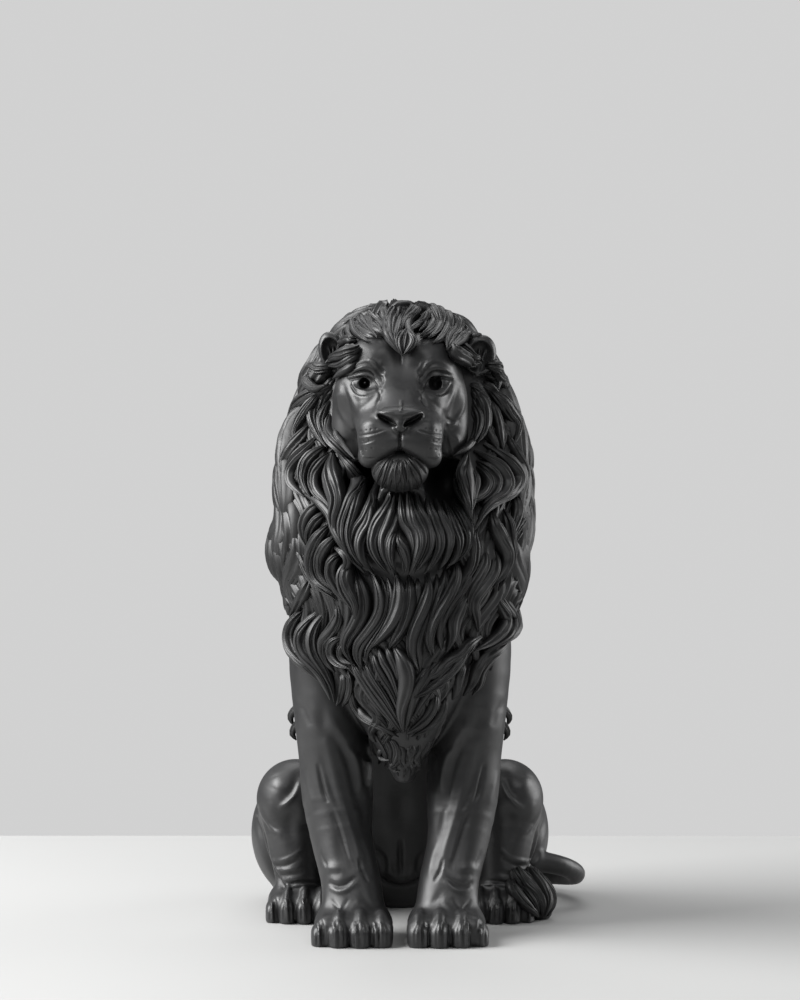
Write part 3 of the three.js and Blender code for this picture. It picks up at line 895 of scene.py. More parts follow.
def resin():
    """Satin black resin, a little mottled, finely grained, polished on ridges and dull in grooves, with
    painted shade that darkens its colour in the grooves and a painted highlight that lightens it on the
    ridges.
    """
    material = bpy.data.materials.new("satin_black_resin")
    material.use_nodes = True
    t = Tree(material.node_tree)
    shader = t.nodes["Principled BSDF"]
    place = t.node("ShaderNodeTexCoord").outputs["Object"]

    def noise(scale, detail):
        return t.node("ShaderNodeTexNoise", Scale=scale, Detail=detail, Vector=place).outputs["Fac"]

    def ranged(value, low, high, to_low, to_high):
        """The value, taken from one range to another."""
        return t.node("ShaderNodeMapRange", Value=value, From_Min=low, From_Max=high,
                      To_Min=to_low, To_Max=to_high).outputs["Result"]

    ridges = ranged(t.node("ShaderNodeNewGeometry").outputs["Pointiness"], 0.46, 0.54, 0.0, 1.0)
    # Painted shade and painted highlight: the base colour runs from near black in the grooves to lighter on
    # the ridges by the surface's pointiness, with a little random mottling
    painted_shade_ramp = t.node("ShaderNodeValToRGB")
    painted_shade_ramp.color_ramp.elements[0].color = (0.004, 0.004, 0.0042, 1)
    painted_shade_ramp.color_ramp.elements[1].color = (0.024, 0.024, 0.0245, 1)
    mottling = ranged(noise(45.0, 4.0), 0.3, 0.7, 0.7, 1.1)
    t.give(painted_shade_ramp.inputs["Fac"], t.math("MULTIPLY", ridges, mottling))
    t.give(shader.inputs["Base Color"], painted_shade_ramp.outputs["Color"])
    dullness = ranged(ridges, 0.0, 1.0, 0.52, 0.38)
    unevenness = ranged(noise(160.0, 5.0), 0.3, 0.7, 0.92, 1.08)
    t.give(shader.inputs["Roughness"], t.math("MULTIPLY", dullness, unevenness))
    grain = t.node("ShaderNodeBump", Strength=0.12, Distance=0.0002, Height=noise(1300.0, 2.0))
    t.give(shader.inputs["Normal"], grain.outputs["Normal"])
    return material


build_camera()
build_studio()
RESIN = resin()


# Hair. Each lock: full width in picture points, strands, how far its root and tip stand out in mm, its line
CROWN = read_rows("""
    16 4 -1 0: 396 305, 381 305, 367 311, 350 322
    16 4 -1 1: 404 303, 422 302, 440 306, 458 314
    14 4 -2 0: 345 324, 352 329, 356 336, 353 344
    14 4 -1 1: 356 314, 358 324, 363 333, 371 340
    12 3 0 2: 381 304, 380 313, 382 323, 387 332
    14 4 1 3: 402 304, 398 314, 396 326, 394 339
    14 4 1 2: 411 304, 409 314, 406 324, 404 334
    14 4 1 2: 427 304, 436 311, 441 321, 438 333, 427 340
    14 4 0 1: 444 306, 451 316, 453 328, 448 339
    13 4 -1 0: 452 311, 460 320, 466 330, 468 341
    14 4 0 2: 352 322, 357 332, 368 338, 385 338
    14 4 2 4: 362 313, 366 325, 376 333, 387 337
    12 3 3 4: 373 303, 372 314, 378 323, 386 332
    12 3 3 4: 386 302, 385 314, 389 324, 388 335
    14 4 4 6: 396 304, 391 320, 389 336, 400 353
    9 3 8 9: 406 330, 399 341, 402 356
    9 3 8 9: 407 331, 413 342, 403 355
    8 3 9 8: 406 332, 406 342, 402 354
    11 3 6 7: 418 305, 409 316, 401 331
    13 4 3 4: 420 303, 432 309, 438 320, 434 332, 420 338
    10 3 5 6: 430 310, 426 319, 418 326, 409 331
    9 3 3 5: 421 306, 416 314, 411 322, 406 330
    12 3 2 2: 436 305, 446 314, 448 328, 443 340, 431 344
    12 4 2 4: 452 312, 458 324, 452 335, 446 349
    11 3 5 6: 461 326, 466 335, 456 343, 447 350
    15 4 6 7: 446 344, 456 355, 468 361, 482 364
    11 3 7 9: 455 342, 465 349, 473 357, 484 361
    13 5 6 7: 361 350, 350 351, 339 356, 325 363
    9 3 6 6: 357 343, 350 340, 342 344, 336 353
    8 3 5 6: 361 354, 351 360, 340 365, 328 366
    8 2 3 5: 359 361, 347 370, 333 379
    14 4 1 0: 366 315, 354 320, 345 328, 341 339
    10 3 2 2: 355 324, 348 330, 344 337, 348 344
    12 3 -1 0: 458 317, 468 325, 475 334, 479 342
    11 3 0 1: 464 318, 474 327, 483 339
""")
# Narrower locks that lie over the broad ones of the crown
CROWN_OVER = read_rows("""
    8 2 2 4: 381 305, 376 313, 374 321, 379 330, 385 336
    8 2 4 6: 387 305, 384 314, 386 323, 389 331
    7 2 4 6: 378 308, 371 316, 372 325, 379 334
    9 2 3 5: 371 306, 364 314, 364 324, 371 333, 378 337
    7 2 5 6: 392 305, 390 315, 392 324, 388 333
    9 2 2 4: 364 310, 356 318, 354 328, 361 337, 370 342
    7 2 2 4: 357 315, 349 322, 348 332, 355 341
    7 2 3 5: 374 312, 368 321, 370 329, 377 338
    8 2 6 7: 399 304, 397 315, 391 326, 388 336, 395 347, 400 354
    7 2 6 8: 404 308, 400 319, 397 329, 395 339, 400 350
    7 2 6 7: 411 308, 405 318, 401 327, 399 335
    13 3 3 3: 392 307, 401 302, 410 301, 420 308
    8 2 6 7: 420 307, 413 316, 408 325, 411 333, 416 340
    9 2 4 6: 424 307, 431 314, 433 322, 429 330, 420 336
    8 2 4 6: 431 307, 437 316, 439 324, 436 332, 428 338
    7 2 5 6: 419 314, 426 319, 426 326, 419 331
    8 2 3 5: 440 306, 445 316, 446 327, 441 337, 433 343
    8 2 2 4: 448 308, 455 314, 463 318, 471 325
    7 2 4 6: 456 325, 451 332, 447 339, 447 348
    6 2 5 6: 458 330, 455 338, 450 344, 448 351
    7 2 4 5: 458 332, 466 338, 465 346, 472 354
""")
UPPER_LEFT = read_rows("""
    11 4 0 2: 341 376, 331 384, 322 394, 314 406
    11 4 0 3: 338 386, 328 396, 321 408, 316 420
    10 4 0 3: 334 398, 327 410, 323 424, 325 438
    9 3 0 4: 331 412, 328 426, 332 440, 340 452
    13 4 4 8: 338 367, 322 368, 309 371, 301 381, 297 396
    12 4 6 10: 335 373, 318 374, 309 382, 315 389, 325 386
    12 3 2 6: 315 362, 303 372, 296 385, 294 399
    14 5 4 8: 337 384, 322 391, 306 398, 296 409, 290 425, 292 441
    12 4 7 10: 324 391, 312 404, 302 417, 296 430, 294 442
    12 4 2 8: 333 388, 323 397, 315 409, 313 422, 318 436, 327 447
    10 4 2 7: 332 400, 325 410, 321 420, 324 432, 333 445, 347 458
    8 3 2 7: 333 412, 329 422, 331 434, 340 446, 352 459
    6 2 2 6: 335 426, 338 436, 345 446, 355 459
    12 3 3 7: 298 400, 287 412, 282 428, 279 447
    14 4 5 9: 314 422, 303 437, 293 450, 285 463, 282 480
    13 3 2 6: 286 438, 277 453, 276 468, 281 484, 285 498
    13 4 6 10: 322 436, 310 447, 298 458, 292 470, 293 484, 305 497
    13 4 7 11: 328 446, 313 456, 304 468, 303 482, 311 497
    12 4 7 11: 334 452, 322 462, 315 474, 316 488, 325 500, 335 512
""")
LEFT = read_rows("""
    20 5 9 10: 334 456, 333 472, 335 488, 338 503, 335 520, 338 538
    16 4 7 10: 340 455, 352 470, 356 488, 350 507, 343 524, 343 541, 351 558
    10 3 9 11: 352 463, 360 479, 359 498, 353 516, 348 534, 352 551, 363 567
    13 4 5 8: 306 498, 295 510, 290 526, 295 543, 304 558, 310 574
    11 3 4 8: 298 490, 287 505, 286 523, 295 542, 303 557, 309 574, 318 587, 336 600
    8 2 11 12: 305 495, 318 503, 329 515, 334 531, 342 546, 353 563
    12 3 8 10: 324 503, 311 513, 304 528, 306 545
    11 3 7 9: 330 511, 317 521, 309 534, 308 548
    14 4 8 11: 335 523, 322 534, 313 548, 311 564, 316 580, 333 593
    12 4 8 11: 340 535, 327 546, 320 560, 321 576, 335 591
    13 3 7 10: 343 549, 334 560, 332 576, 339 592, 350 607
    9 3 10 12: 335 547, 348 556, 347 566, 340 573
    18 4 8 11: 354 560, 347 574, 348 590, 356 605, 357 622
    13 4 2 5: 284 509, 272 525, 267 545, 269 564, 280 584
    11 3 4 7: 289 524, 278 538, 278 555, 291 567
    14 4 3 6: 297 553, 289 569, 284 586, 280 600, 279 612
    13 4 5 8: 305 563, 297 582, 289 596, 282 609
    13 4 6 9: 313 577, 307 592, 299 606, 290 619
    12 3 3 6: 296 484, 284 491, 282 505, 286 521
""")
BIB = read_rows("""
    14 3 4 8: 378 484, 371 504, 366 518, 357 530, 352 543, 354 559, 364 573
    13 2 4 9: 372 492, 372 508, 369 522, 362 535, 360 548, 365 562, 375 575
    13 3 6 10: 389 492, 386 508, 378 521, 374 534, 373 547, 379 561, 389 574
    9 2 7 10: 395 496, 391 512, 386 526, 382 540, 384 555, 391 570
    9 2 5 9: 399 505, 396 520, 391 533, 387 546, 389 560, 396 574
    8 2 9 11: 398 532, 392 543, 391 557, 396 571
    8 3 10 12: 398 533, 400 542, 406 550, 408 562, 405 574
    7 2 8 11: 396 541, 400 549, 404 560, 403 574
    10 3 6 9: 401 494, 402 510, 404 523, 410 534, 413 548, 411 564
    13 3 8 11: 408 494, 410 510, 414 522, 420 534, 420 547, 414 562, 409 574
    11 3 6 10: 416 492, 419 509, 425 522, 429 535, 429 548, 422 562, 414 574
    12 3 5 9: 425 494, 430 510, 435 523, 440 537, 439 550, 431 564, 424 574
    11 2 5 9: 434 500, 439 513, 445 526, 449 540, 446 556, 438 570
    11 3 4 8: 443 502, 449 515, 455 528, 459 541, 455 556, 446 569
    12 3 3 7: 455 492, 458 508, 464 520, 469 533, 466 549, 454 564
    9 2 2 6: 368 478, 364 492, 362 506, 355 519, 348 531, 346 546
""")
UPPER_RIGHT = read_rows("""
    11 4 0 3: 466 384, 475 389, 482 397, 487 408
    12 4 1 5: 468 388, 477 397, 483 408, 485 420
    10 4 1 5: 471 395, 477 405, 481 416, 481 430
    8 3 1 4: 474 412, 476 424, 474 436, 466 447
    11 4 0 4: 478 382, 487 388, 494 394, 500 403
    11 4 2 6: 473 389, 481 396, 487 405, 490 416
    13 4 4 8: 484 365, 499 368, 508 380, 513 398
    12 4 5 8: 482 375, 496 378, 506 388, 512 401
    12 4 4 8: 471 390, 481 402, 486 416, 485 430, 477 443
    9 3 5 9: 472 402, 479 416, 479 430, 474 442
    7 2 6 9: 476 436, 466 448, 453 456
    10 3 5 8: 486 398, 493 410, 498 424, 500 438, 503 452
    9 3 6 9: 486 422, 490 436, 497 449
    16 5 6 9: 487 390, 500 401, 510 414, 516 428, 514 444
    12 3 4 7: 491 379, 503 388, 513 400, 520 414, 524 429
    13 3 3 6: 518 412, 528 429, 534 446, 534 462, 530 474
    12 3 5 8: 508 428, 520 443, 526 458, 527 474
    13 4 6 9: 503 434, 512 449, 520 464, 523 480, 519 493
    14 5 7 11: 483 444, 500 455, 512 466, 517 479, 511 491, 497 501, 487 513
    14 5 8 11: 474 450, 488 459, 500 469, 506 482, 502 494, 491 503, 482 515, 475 530
    12 4 7 10: 477 461, 489 469, 496 481, 493 494, 483 504
    11 3 7 10: 477 467, 486 474, 489 484, 483 494, 473 501, 470 510
""")
RIGHT = read_rows("""
    17 4 8 11: 467 454, 465 470, 467 484, 467 501, 471 520
    8 2 9 11: 464 463, 458 477, 458 491, 464 505
    8 2 9 11: 470 468, 476 481, 474 495, 472 511
    12 4 5 8: 529 470, 532 484, 531 500, 526 516, 519 532, 512 547
    12 4 6 9: 520 484, 524 498, 522 514, 515 530, 509 547
    12 4 7 10: 512 492, 516 507, 514 524, 508 541
    16 5 8 10: 489 510, 494 525, 500 540, 505 556, 502 572, 493 587
    14 4 8 10: 501 508, 507 521, 508 538, 509 554, 506 572, 498 591
    12 3 5 9: 475 522, 472 537, 474 552, 470 568, 460 583, 449 597
    13 4 5 9: 481 546, 484 560, 478 574, 471 588, 468 602, 471 618
    14 4 6 10: 489 546, 494 560, 490 574, 480 588, 473 602, 476 618, 478 632
    14 4 5 8: 512 550, 519 565, 526 580, 527 594, 518 610
    12 4 6 9: 508 558, 512 575, 515 590, 518 604, 516 614
    10 3 4 7: 528 527, 531 543, 528 558, 521 574
    14 4 7 10: 497 588, 505 604, 510 618, 508 632, 500 642, 484 652
    12 3 5 9: 508 588, 515 604, 517 620, 512 634, 503 645
    13 4 8 10: 491 592, 500 606, 504 620, 499 632, 488 642, 474 651
""")
CHEST = read_rows("""
    17 3 4 9: 352 562, 358 580, 363 597, 363 612, 357 626, 349 638, 346 650, 353 664
    11 2 6 9: 368 568, 376 584, 380 600, 378 615, 368 631, 358 644, 356 657, 362 670
    10 2 4 8: 377 570, 385 588, 386 605, 380 621, 369 637, 361 650, 361 666, 368 684
    10 2 4 8: 385 574, 390 590, 390 608, 386 624, 375 640, 367 652, 367 667
    15 3 6 8: 396 573, 399 590, 397 608, 391 624, 382 637, 371 648
    16 2 4 7: 409 574, 411 592, 408 610, 402 626, 395 640, 389 650
    7 2 5 7: 417 578, 418 590, 416 602, 413 612
    14 3 6 8: 427 572, 428 590, 423 608, 416 626, 412 642, 413 658, 419 672
    11 2 4 7: 437 570, 436 588, 431 606, 424 624, 419 642, 420 658, 421 674
    12 3 5 9: 446 563, 444 582, 437 602, 430 622, 427 640, 431 656
    14 4 7 10: 455 557, 457 574, 450 592, 440 608, 432 624, 430 642, 434 654
    13 4 6 9: 466 552, 467 570, 460 588, 448 604, 440 620, 438 636, 441 650
    15 4 6 9: 468 590, 460 604, 454 620, 452 636, 446 652
    13 4 6 8: 484 632, 470 642, 460 654, 446 662, 434 674, 419 680
    13 4 7 10: 472 638, 462 655, 450 670, 436 683, 424 692, 411 700
    14 4 5 8: 512 636, 498 648, 484 656, 475 668, 471 682, 463 696
    10 3 6 8: 505 648, 490 659, 482 671, 480 684, 472 695
    12 4 3 6: 462 660, 458 674, 456 686, 452 700
    14 4 7 10: 312 604, 298 617, 291 632, 292 648, 300 661, 311 672, 320 682
    14 4 8 11: 324 606, 309 621, 301 636, 303 652, 312 665, 321 678, 330 700
    13 4 8 11: 331 606, 317 623, 311 640, 315 656, 325 669, 332 684, 334 702
    14 4 7 10: 338 600, 340 616, 333 630, 324 643, 326 658, 335 672
    9 3 9 11: 347 635, 334 641, 331 653, 338 664, 350 669
    7 2 9 11: 347 643, 341 650, 342 659, 351 664
    9 3 5 8: 343 668, 346 683, 342 696, 336 706
    8 3 5 8: 349 668, 351 684, 348 698, 342 707
    10 3 6 8: 350 655, 357 670, 366 686, 377 702, 390 718, 401 733
    9 3 5 8: 356 650, 364 668, 373 685, 384 702, 394 718, 403 733
    9 3 5 7: 364 655, 370 670, 379 687, 388 703, 397 719, 404 733
    8 2 8 9: 373 650, 376 662, 383 676, 391 690, 397 706, 402 722
    8 2 9 10: 379 647, 383 660, 390 673, 396 688, 400 704
    8 2 9 10: 387 646, 391 658, 396 670, 399 684
    18 2 8 9: 394 644, 402 660, 406 676, 405 693, 402 712, 404 733
    11 3 6 9: 433 659, 424 672, 416 686, 411 702, 407 718, 404 733
    10 3 5 8: 446 652, 436 665, 426 678, 418 694, 412 710, 406 730
    11 3 6 9: 468 648, 456 660, 443 672, 431 686, 421 702, 413 716
    8 3 4 6: 350 672, 352 690, 355 706, 364 719, 378 727, 392 737
    7 2 4 6: 356 700, 363 713, 374 722, 387 730, 399 737
    12 3 5 7: 436 688, 434 702, 427 716, 417 727, 406 735
    10 3 4 6: 445 693, 442 708, 434 721, 424 730, 411 737
    # the point in which the chest's hair ends
    8 3 0 1: 370 722, 373 735, 376 747, 381 756, 378 764
    8 3 0 1: 375 724, 380 736, 385 746, 388 757, 385 767
    8 3 0 2: 380 727, 386 738, 392 748, 392 760, 396 771
    8 3 1 2: 388 733, 395 743, 397 753, 395 764, 399 776
    8 2 1 2: 398 741, 403 750, 402 760, 406 769, 403 778
    7 2 1 3: 404 740, 399 749, 400 758, 394 766, 388 768
    8 3 1 2: 408 740, 412 749, 409 759, 412 768, 410 777
    8 3 1 2: 417 739, 418 749, 414 758, 418 766, 415 772
    7 2 1 3: 413 742, 408 750, 410 759, 404 767, 407 775
    8 3 0 1: 426 735, 425 746, 420 754, 421 762
    7 2 0 1: 433 729, 431 740, 425 749, 419 757
    7 2 0 1: 440 716, 438 727, 433 738, 427 746
    7 2 0 1: 443 704, 443 714, 439 724, 434 733
    5 2 2 3: 384 748, 380 753, 383 759, 389 760
    5 2 2 3: 397 760, 392 764, 394 770, 400 771
    5 2 2 3: 412 754, 416 760, 413 766, 408 765
""")

BEARD = read_rows("""
    8 3 0 1: 394 456, 385 461, 378 468, 375 477
    8 3 0 2: 395 457, 387 464, 381 472, 378 483
    8 3 0 2: 396 457, 390 466, 385 477, 382 489
    8 3 0 2: 398 457, 393 468, 390 479, 389 492
    8 3 1 2: 399 457, 397 468, 396 480, 396 493
    7 3 1 2: 400 457, 401 468, 403 480, 403 493
    8 3 0 2: 402 457, 406 468, 410 479, 411 492
    8 3 0 2: 404 457, 410 466, 416 477, 418 489
    8 3 0 2: 405 457, 412 464, 419 472, 422 483
    8 3 0 1: 406 456, 415 461, 422 468, 425 476
    5 2 2 3: 400 459, 394 470, 392 482
    5 2 2 3: 402 461, 400 472, 399 484
    5 2 2 3: 403 461, 408 471, 407 483
""")
TAIL_TUFT = read_rows("""
    14 5 3 5: 510 868, 516 878, 524 889, 532 901, 538 916
    16 6 6 8: 517 867, 524 879, 534 892, 540 904, 542 917
    15 5 5 7: 524 867, 532 878, 542 890, 548 902, 545 916
    12 4 2 4: 531 868, 539 879, 549 892, 551 904, 547 916
    12 4 2 5: 507 876, 511 887, 519 898, 529 908, 538 917
""")
# The small curls behind the elbows: width and line in mm, for the side where x is above nought
ELBOWS = read_rows("""
    7: 54 -100 141, 61 -93 140.5, 67 -88 137, 70.5 -86 132, 69.5 -86 127
    6.5: 56 -96 133, 62 -90 130, 67 -86 126, 69.5 -85 121, 67.5 -86 117
    6: 55 -93 125, 59 -88 121, 62 -86 115, 62.5 -87 110, 60 -89 106
    6: 49 -90 139, 54 -84 133, 58 -81.5 126, 59 -82 119, 57 -84 113
    6: 45 -88 131, 50 -83.5 125, 54 -82 118, 54 -84 111
""")


# Rows of locks round the mane: height of the roots, length, first and last angle, locks, width
SIDES = [
    (397, 36, 94, 176, 4, 19), (386, 44, 60, 176, 6, 20), (366, 52, 84, 176, 6, 21),
    (340, 56, 66, 176, 8, 23), (313, 58, 62, 176, 9, 23), (286, 58, 60, 176, 9, 24),
    (259, 56, 60, 176, 9, 24), (240, 38, 60, 112, 5, 20), (238, 40, 112, 176, 6, 22),
    (212, 48, 106, 134, 2, 24),
]
UNDER = [
    (345, 90, 44, 66, 3, 15), (300, 130, 30, 62, 6, 16), (220, 90, 2, 28, 3, 15), (190, 66, 3, 34, 4, 14),
]
# Locks: steps from one drawn point to the next, the share that is used of how far they stand out, how far
# all are sunk in mm, their widths against the drawn ones, thickness against width, and the strands' full turn
LINE_STEPS = 8
LIFT_SHARE = 0.8
SUNK = 2.0
WIDER = 1.12
THICKNESS = 0.66
STRAND_TURN = 6.28
# Rows round the mane, in mm: swing to the sides, drift to the back, and start outside the mane's body
SWING = 6.5
DRIFT = 5.0
OUTSIDE = 6


class Strands:
    """Guide lines of locks, with the width, thickness and outward direction along each."""

    ROOT, TIP = 0.3, 0.08  # widths at the ends of a lock, as shares of its full width

    def __init__(self):
        self.centre, self.up, self.wide, self.thick = [], [], [], []
        self.count, self.phase, self.sizes = [], [], []

    def add(self, centre, up, width, thickness, strands, phase, tilt=0.0):
        """One lock, in millimetres: swells from its root, and narrows to a point over its last part."""
        n = len(centre)
        t = np.linspace(0, 1, n)
        rise = self.ROOT + (1 - self.ROOT) * ease(t / 0.3)
        fall = self.TIP + (1 - self.TIP) * (1 - np.clip((t - 0.35) / 0.65, 0, 1) ** 2.2)
        swell = rise * fall
        ahead = np.gradient(centre, axis=0)
        side = np.cross(ahead, up)
        side /= np.maximum(np.linalg.norm(side, axis=1, keepdims=True), 1e-9)
        lean = np.radians(tilt + 14 * np.sin(2 * np.pi * t + phase))[:, None]
        up = up * np.cos(lean) + side * np.sin(lean)
        self.centre.append(centre)
        self.up.append(up)
        self.wide.append(swell * width / 2)
        self.thick.append(swell**0.7 * thickness)
        self.count.append(np.full(n, float(strands)))
        self.phase.append(np.full(n, phase))
        self.sizes.append(n)

    def to_mesh(self, name):
        """A mesh of edges along the guide lines, which carries the rest as attributes."""
        points = np.vstack(self.centre) * MM
        ends = np.cumsum(self.sizes)
        links = np.arange(len(points) - 1)
        links = links[~np.isin(links + 1, ends)]
        mesh = bpy.data.meshes.new(name)
        mesh.from_pydata(points.tolist(), np.stack([links, links + 1], 1).tolist(), [])
        for label, rows, scale in (("wide", self.wide, MM), ("thick", self.thick, MM),
                                   ("strands", self.count, 1), ("phase", self.phase, 1)):
            mesh.attributes.new(label, "FLOAT", "POINT").data.foreach_set(
                "value", (np.concatenate(rows) * scale).astype(np.float32))
        mesh.attributes.new("up", "FLOAT_VECTOR", "POINT").data.foreach_set(
            "vector", np.vstack(self.up).astype(np.float32).ravel())
        return mesh


def lock_tree():
    """Sweeps a ridged, tapering section along every guide line."""
    t = Tree(bpy.data.node_groups.new("carved_locks", "GeometryNodeTree"))
    face = t.tree.interface
    for label, kind in (("Guides", "Geometry"), ("Ring spacing", "Float"), ("Points around", "Int"),
                        ("Groove depth", "Float"), ("Seed", "Int"), ("Finish", "Material")):
        face.new_socket(label, in_out="INPUT", socket_type="NodeSocket" + kind)
    face.new_socket("Locks", in_out="OUTPUT", socket_type="NodeSocketGeometry")
    given = t.node("NodeGroupInput").outputs
    plus, minus, times, power, sine, positive, nearest = (
        partial(t.math, kind)
        for kind in ("ADD", "SUBTRACT", "MULTIPLY", "POWER", "SINE", "ABSOLUTE", "ROUND")
    )

    def along_line(field, output):
        return t.node("GeometryNode" + field).outputs[output]

    curve = t.node("GeometryNodeMeshToCurve", Mesh=given["Guides"])
    spaced = t.node("GeometryNodeResampleCurve", {"mode": "LENGTH"},
                    Curve=curve.outputs["Curve"], Length=given["Ring spacing"])
    line = t.store(spaced.outputs["Curve"], "centre", along_line("InputPosition", 0), "FLOAT_VECTOR")
    line = t.store(line, "ahead", along_line("InputTangent", 0), "FLOAT_VECTOR")
    line = t.store(line, "along", along_line("SplineParameter", "Factor"))
    ring = t.node("GeometryNodeCurvePrimitiveCircle", Resolution=given["Points around"], Radius=0.001)
    section = t.store(ring.outputs["Curve"], "turn", along_line("SplineParameter", "Factor"))
    tube = t.node("GeometryNodeCurveToMesh", Curve=line, Profile_Curve=section, Fill_Caps=True)

    # Across the lock from -1 to 1 along its top, and back along its underside
    turn, along, phase = t.named("turn"), t.named("along"), t.named("phase")
    top = t.math("LESS_THAN", turn, 0.8)
    over = minus(times(turn, 2.5), 1.0)
    under = minus(1.0, times(minus(turn, 0.8), 10.0))
    across = t.choose(top, over, under)
    narrowing = minus(1.0, times(across, across))
    dome = power(t.math("MAXIMUM", narrowing, 0.0), 0.52)

    # Strands: round ridges with sharp grooves, which wander a little along the lock
    wander = times(sine(plus(times(along, 5.0), phase)), 0.22)
    uneven = times(sine(plus(times(across, 3.4), phase)), 0.09)
    share = plus(times(plus(across, 1.0), 0.5), times(uneven, narrowing))
    place = plus(times(share, t.named("strands")), wander)
    ridge = power(positive(sine(times(place, math.pi))), 0.6)
    fine = positive(sine(plus(times(place, math.pi * 2.3), phase)))
    relief = plus(times(ridge, 0.8), times(fine, 0.2))
    own = sine(plus(times(nearest(place), 2.3), phase))
    depth = times(given["Groove depth"], plus(times(own, 0.45), 0.75))
    cut = minus(1.0, times(minus(1.0, relief), depth))
    height = t.choose(top, times(dome, cut), times(dome, -0.35))

    ahead = t.named("ahead", "FLOAT_VECTOR")
    side = t.vector("NORMALIZE", t.vector("CROSS_PRODUCT", ahead, t.named("up", "FLOAT_VECTOR")))
    lift = t.vector("NORMALIZE", t.vector("CROSS_PRODUCT", side, ahead))
    sideways = t.vector("SCALE", side, scale=times(across, t.named("wide")))
    raised = t.vector("SCALE", lift, scale=times(height, t.named("thick")))
    place = t.vector("ADD", t.vector("ADD", t.named("centre", "FLOAT_VECTOR"), sideways), raised)
    # A faint unevenness, as left by a carver's tool
    noise = t.node("ShaderNodeTexNoise", {"noise_dimensions": "4D"}, Scale=140.0, Detail=2.0,
                   Vector=place, W=given["Seed"])
    rough = times(minus(noise.outputs[0], 0.5), 0.0006)
    place = t.vector("ADD", place, t.vector("SCALE", lift, scale=rough))
    formed = t.node("GeometryNodeSetPosition", Geometry=tube.outputs["Mesh"], Position=place)
    outward = t.node("GeometryNodeFlipFaces", Mesh=formed.outputs["Geometry"])
    smooth = t.node("GeometryNodeSetShadeSmooth", Geometry=outward.outputs["Mesh"])
    real = t.node("GeometryNodeRealizeInstances", Geometry=smooth.outputs["Geometry"])
    finish = t.node("GeometryNodeSetMaterial", Geometry=real.outputs["Geometry"], Material=given["Finish"])
    t.node("NodeGroupOutput", Locks=finish.outputs["Geometry"])
    return t.tree


def grow(name, strands, tree, spacing, around):
    """The locks of one piece, from their guide lines: rings of points, a spacing in mm apart."""
    piece = new_object(name, strands.to_mesh(name))
    modifier = piece.modifiers.new("locks", "NODES")
    modifier.node_group = tree
    values = {"Ring spacing": spacing * MM, "Points around": around, "Groove depth": 0.58, "Seed": 1,
              "Finish": RESIN}
    for item in tree.interface.items_tree:
        if item.in_out == "INPUT" and item.name in values:
            modifier[item.identifier] = values[item.name]
    finish_modifiers(piece)
    for label in ("wide", "thick", "strands", "phase", "up", "centre", "ahead", "along", "turn"):
        if label in piece.data.attributes:
            piece.data.attributes.remove(piece.data.attributes[label])
    return piece


def place_locks(strands, clay, locks, rng, steep, root):
    """Lays locks that are drawn in the camera's picture on the body, each standing out as far as it says.

    steep is how fast a lock may leave for the back, against its way across the picture, where the body
    falls away behind it. root is how deep in mm the lock's root is sunk below the rest.
    """
    for width, count, root_lift, tip_lift, points in locks:
        line = spline(points, LINE_STEPS * (len(points) - 1) + 1)
        t = np.linspace(0, 1, len(line))
        out = LIFT_SHARE * (root_lift + (tip_lift - root_lift) * t**1.5)
        lift = out - SUNK - root * (1 - ease(t / 0.2))
        centre = clay.settle(clay.hit(EYE, sight_lines(line), lift), lift, 2)
        centre = bridge_gaps(centre, steep)
        away = centre - EYE
        up = clay.slope(centre, 5.0) - 0.6 * away / np.linalg.norm(away, axis=1, keepdims=True)
        up /= np.linalg.norm(up, axis=1, keepdims=True)
        centre, up = soften(centre, 2), soften(up, 4)
        reach = np.linalg.norm(centre[len(line) // 2] - EYE) / FOCAL
        wide = width * reach * WIDER
        strands.add(centre, up, wide, wide * THICKNESS, count, rng.uniform(0, STRAND_TURN),
                    rng.uniform(-17, 17))


def place_elbows(strands, rng):
    """The curls behind both elbows."""
    for width, points in ELBOWS:
        for side in (1, -1):
            line = spline(points, LINE_STEPS * (len(points) - 1) + 1) * vec(side, 1, 1)
            up = np.tile(vec(side * 0.8, -0.4, 0.4), (len(line), 1))
            strands.add(line, up, width, width * 0.6, 3, rng.uniform(0, STRAND_TURN))


def mane_rows(strands, clay, rng, rows, sink, waves):
    """Rows of locks round the mane, each row lapping over the one below it.

    A row: height of its roots, length, first and last angle in degrees from the front, locks, width in mm.
    The locks are sunk by sink in mm, and swing from side to side as often as waves says.
    """
    stations = np.array(MANE, float)
    for height, length, first, last, count, width in rows:
        for side in (1, -1):
            for i in range(count):
                share = (i + rng.uniform(0.3, 0.7)) / count
                t = np.linspace(0, 1, 10 + int(length / 4))
                z = height + rng.uniform(-5, 5) - length * rng.uniform(0.93, 1.07) * t
                wide, front, back = (np.interp(z, stations[:, 0], stations[:, k]) for k in (1, 2, 3))
                around = (wide + (back - front) / 2) / 2
                phase = rng.uniform(-0.8, 0.8) + side * 0.5 * height
                wave = SWING * np.sin(2 * np.pi * waves * t + phase) + DRIFT * t
                angle = math.radians(first + (last - first) * share) + wave / np.maximum(around, 25)
                x = MANE_X + side * (wide + OUTSIDE) * np.sin(angle)
                y = (front + back) / 2 - ((back - front) / 2 + OUTSIDE) * np.cos(angle)
                lift = rng.uniform(3.0, 7.0) * t**1.4 - sink - 4.0 * (1 - ease(t / 0.2))
                centre = clay.settle(np.stack([x, y, z], 1), lift, 6)
                up = clay.slope(centre, 6.0)
                strands.add(soften(centre, 2), soften(up, 4), width * rng.uniform(0.85, 1.15), width * 0.5,
                            4, rng.uniform(0, STRAND_TURN), rng.uniform(-16, 16))


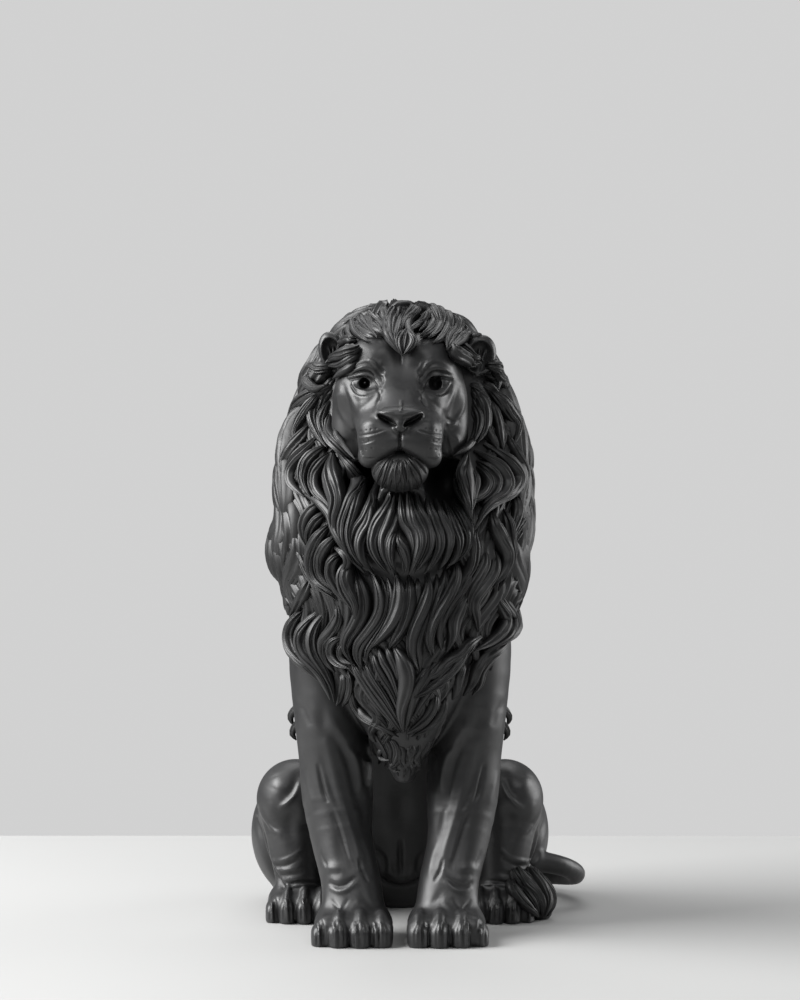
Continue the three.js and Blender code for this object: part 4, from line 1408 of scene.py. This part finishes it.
def bridge_gaps(points, steep):
    """Keeps a line from diving away from the camera, or coming at it, faster than steep allows."""
    rays = points - EYE
    far = np.linalg.norm(rays, axis=1)
    rays /= far[:, None]
    step = np.linalg.norm(np.diff(rays, axis=0), axis=1) * far.mean() * steep + 0.2
    for i in range(1, len(far)):
        far[i] = min(far[i], far[i - 1] + step[i - 1])
    for i in range(len(far) - 2, -1, -1):
        far[i] = min(far[i], far[i + 1] + step[i])
    return EYE + rays * soften(far, 3)[:, None]


def soften(rows, times):
    """Evens rows out along their order, and leaves the first and the last as they are."""
    rows = rows.copy()
    for _ in range(times):
        rows[1:-1] = 0.25 * rows[:-2] + 0.5 * rows[1:-1] + 0.25 * rows[2:]
    return rows


# Grids, in mm: coarse clay under the locks, fine clay for the skin below the mane, and the mane's body
LOW, HIGH = (-106, -214, -4), (128, 66, 404)
COARSE, FINE = 1.5, 0.9
SKIN_TOP = 230.0
ground = sculpt_body(Clay(LOW, HIGH, COARSE))
lower = sculpt_body(Clay(LOW, (HIGH[0], HIGH[1], SKIN_TOP + 2), FINE))
lower.cut_flat(SKIN_TOP, keep_above=False)
core = Clay((-106, -196, 90), (106, -8, 404), COARSE)
add_mane(core)
head_clay, head_skin = sculpt_head()
body_skin = Skin(*lower.skin())
carve_body(body_skin)
over_face = Clay(LOW, HIGH, COARSE)
over_face.field = ground.field.copy()
over_face.take_in(head_clay)

# Hair: each set of locks with the clay it lies on, how steeply it may fall away and how deep its roots are
tree = lock_tree()
rng = np.random.default_rng(7)
pieces = []
for name, sets in (
    ("mane_front", ((over_face, CROWN, 3.0, 8.0), (over_face, CROWN_OVER, 3.0, 8.0),
                    (over_face, UPPER_LEFT, 2.0, 4.0), (over_face, UPPER_RIGHT, 2.0, 4.0))),
    ("mane_middle", ((ground, LEFT, 1.5, 4.0), (ground, RIGHT, 1.5, 4.0), (ground, BIB, 1.5, 4.0))),
    ("mane_chest", ((ground, CHEST, 1.5, 4.0), (ground, TAIL_TUFT, 1.5, 4.0),
                    (over_face, BEARD, 1.5, 4.0))),
):
    strands = Strands()
    for clay, locks, steep, root in sets:
        place_locks(strands, clay, locks, rng, steep, root)
    if name == "mane_chest":
        place_elbows(strands, rng)
    pieces.append(grow(name, strands, tree, spacing=2.0, around=26))
strands = Strands()
mane_rows(strands, ground, rng, SIDES, sink=2.5, waves=0.95)
mane_rows(strands, ground, rng, UNDER, sink=4.0, waves=2.4)
pieces.append(grow("mane_sides", strands, tree, spacing=3.1, around=24))

for name, skin, most_triangles in (
    ("lion_body", body_skin, 180000),
    ("mane_core", Skin(*core.skin()), 30000),
    ("lion_head", head_skin, 160000),
):
    piece = skin.to_object(name, most_triangles)
    piece.data.materials.clear()
    piece.data.materials.append(RESIN)
    pieces.append(piece)
for piece in pieces:
    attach(piece, BODY)
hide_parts("lion")
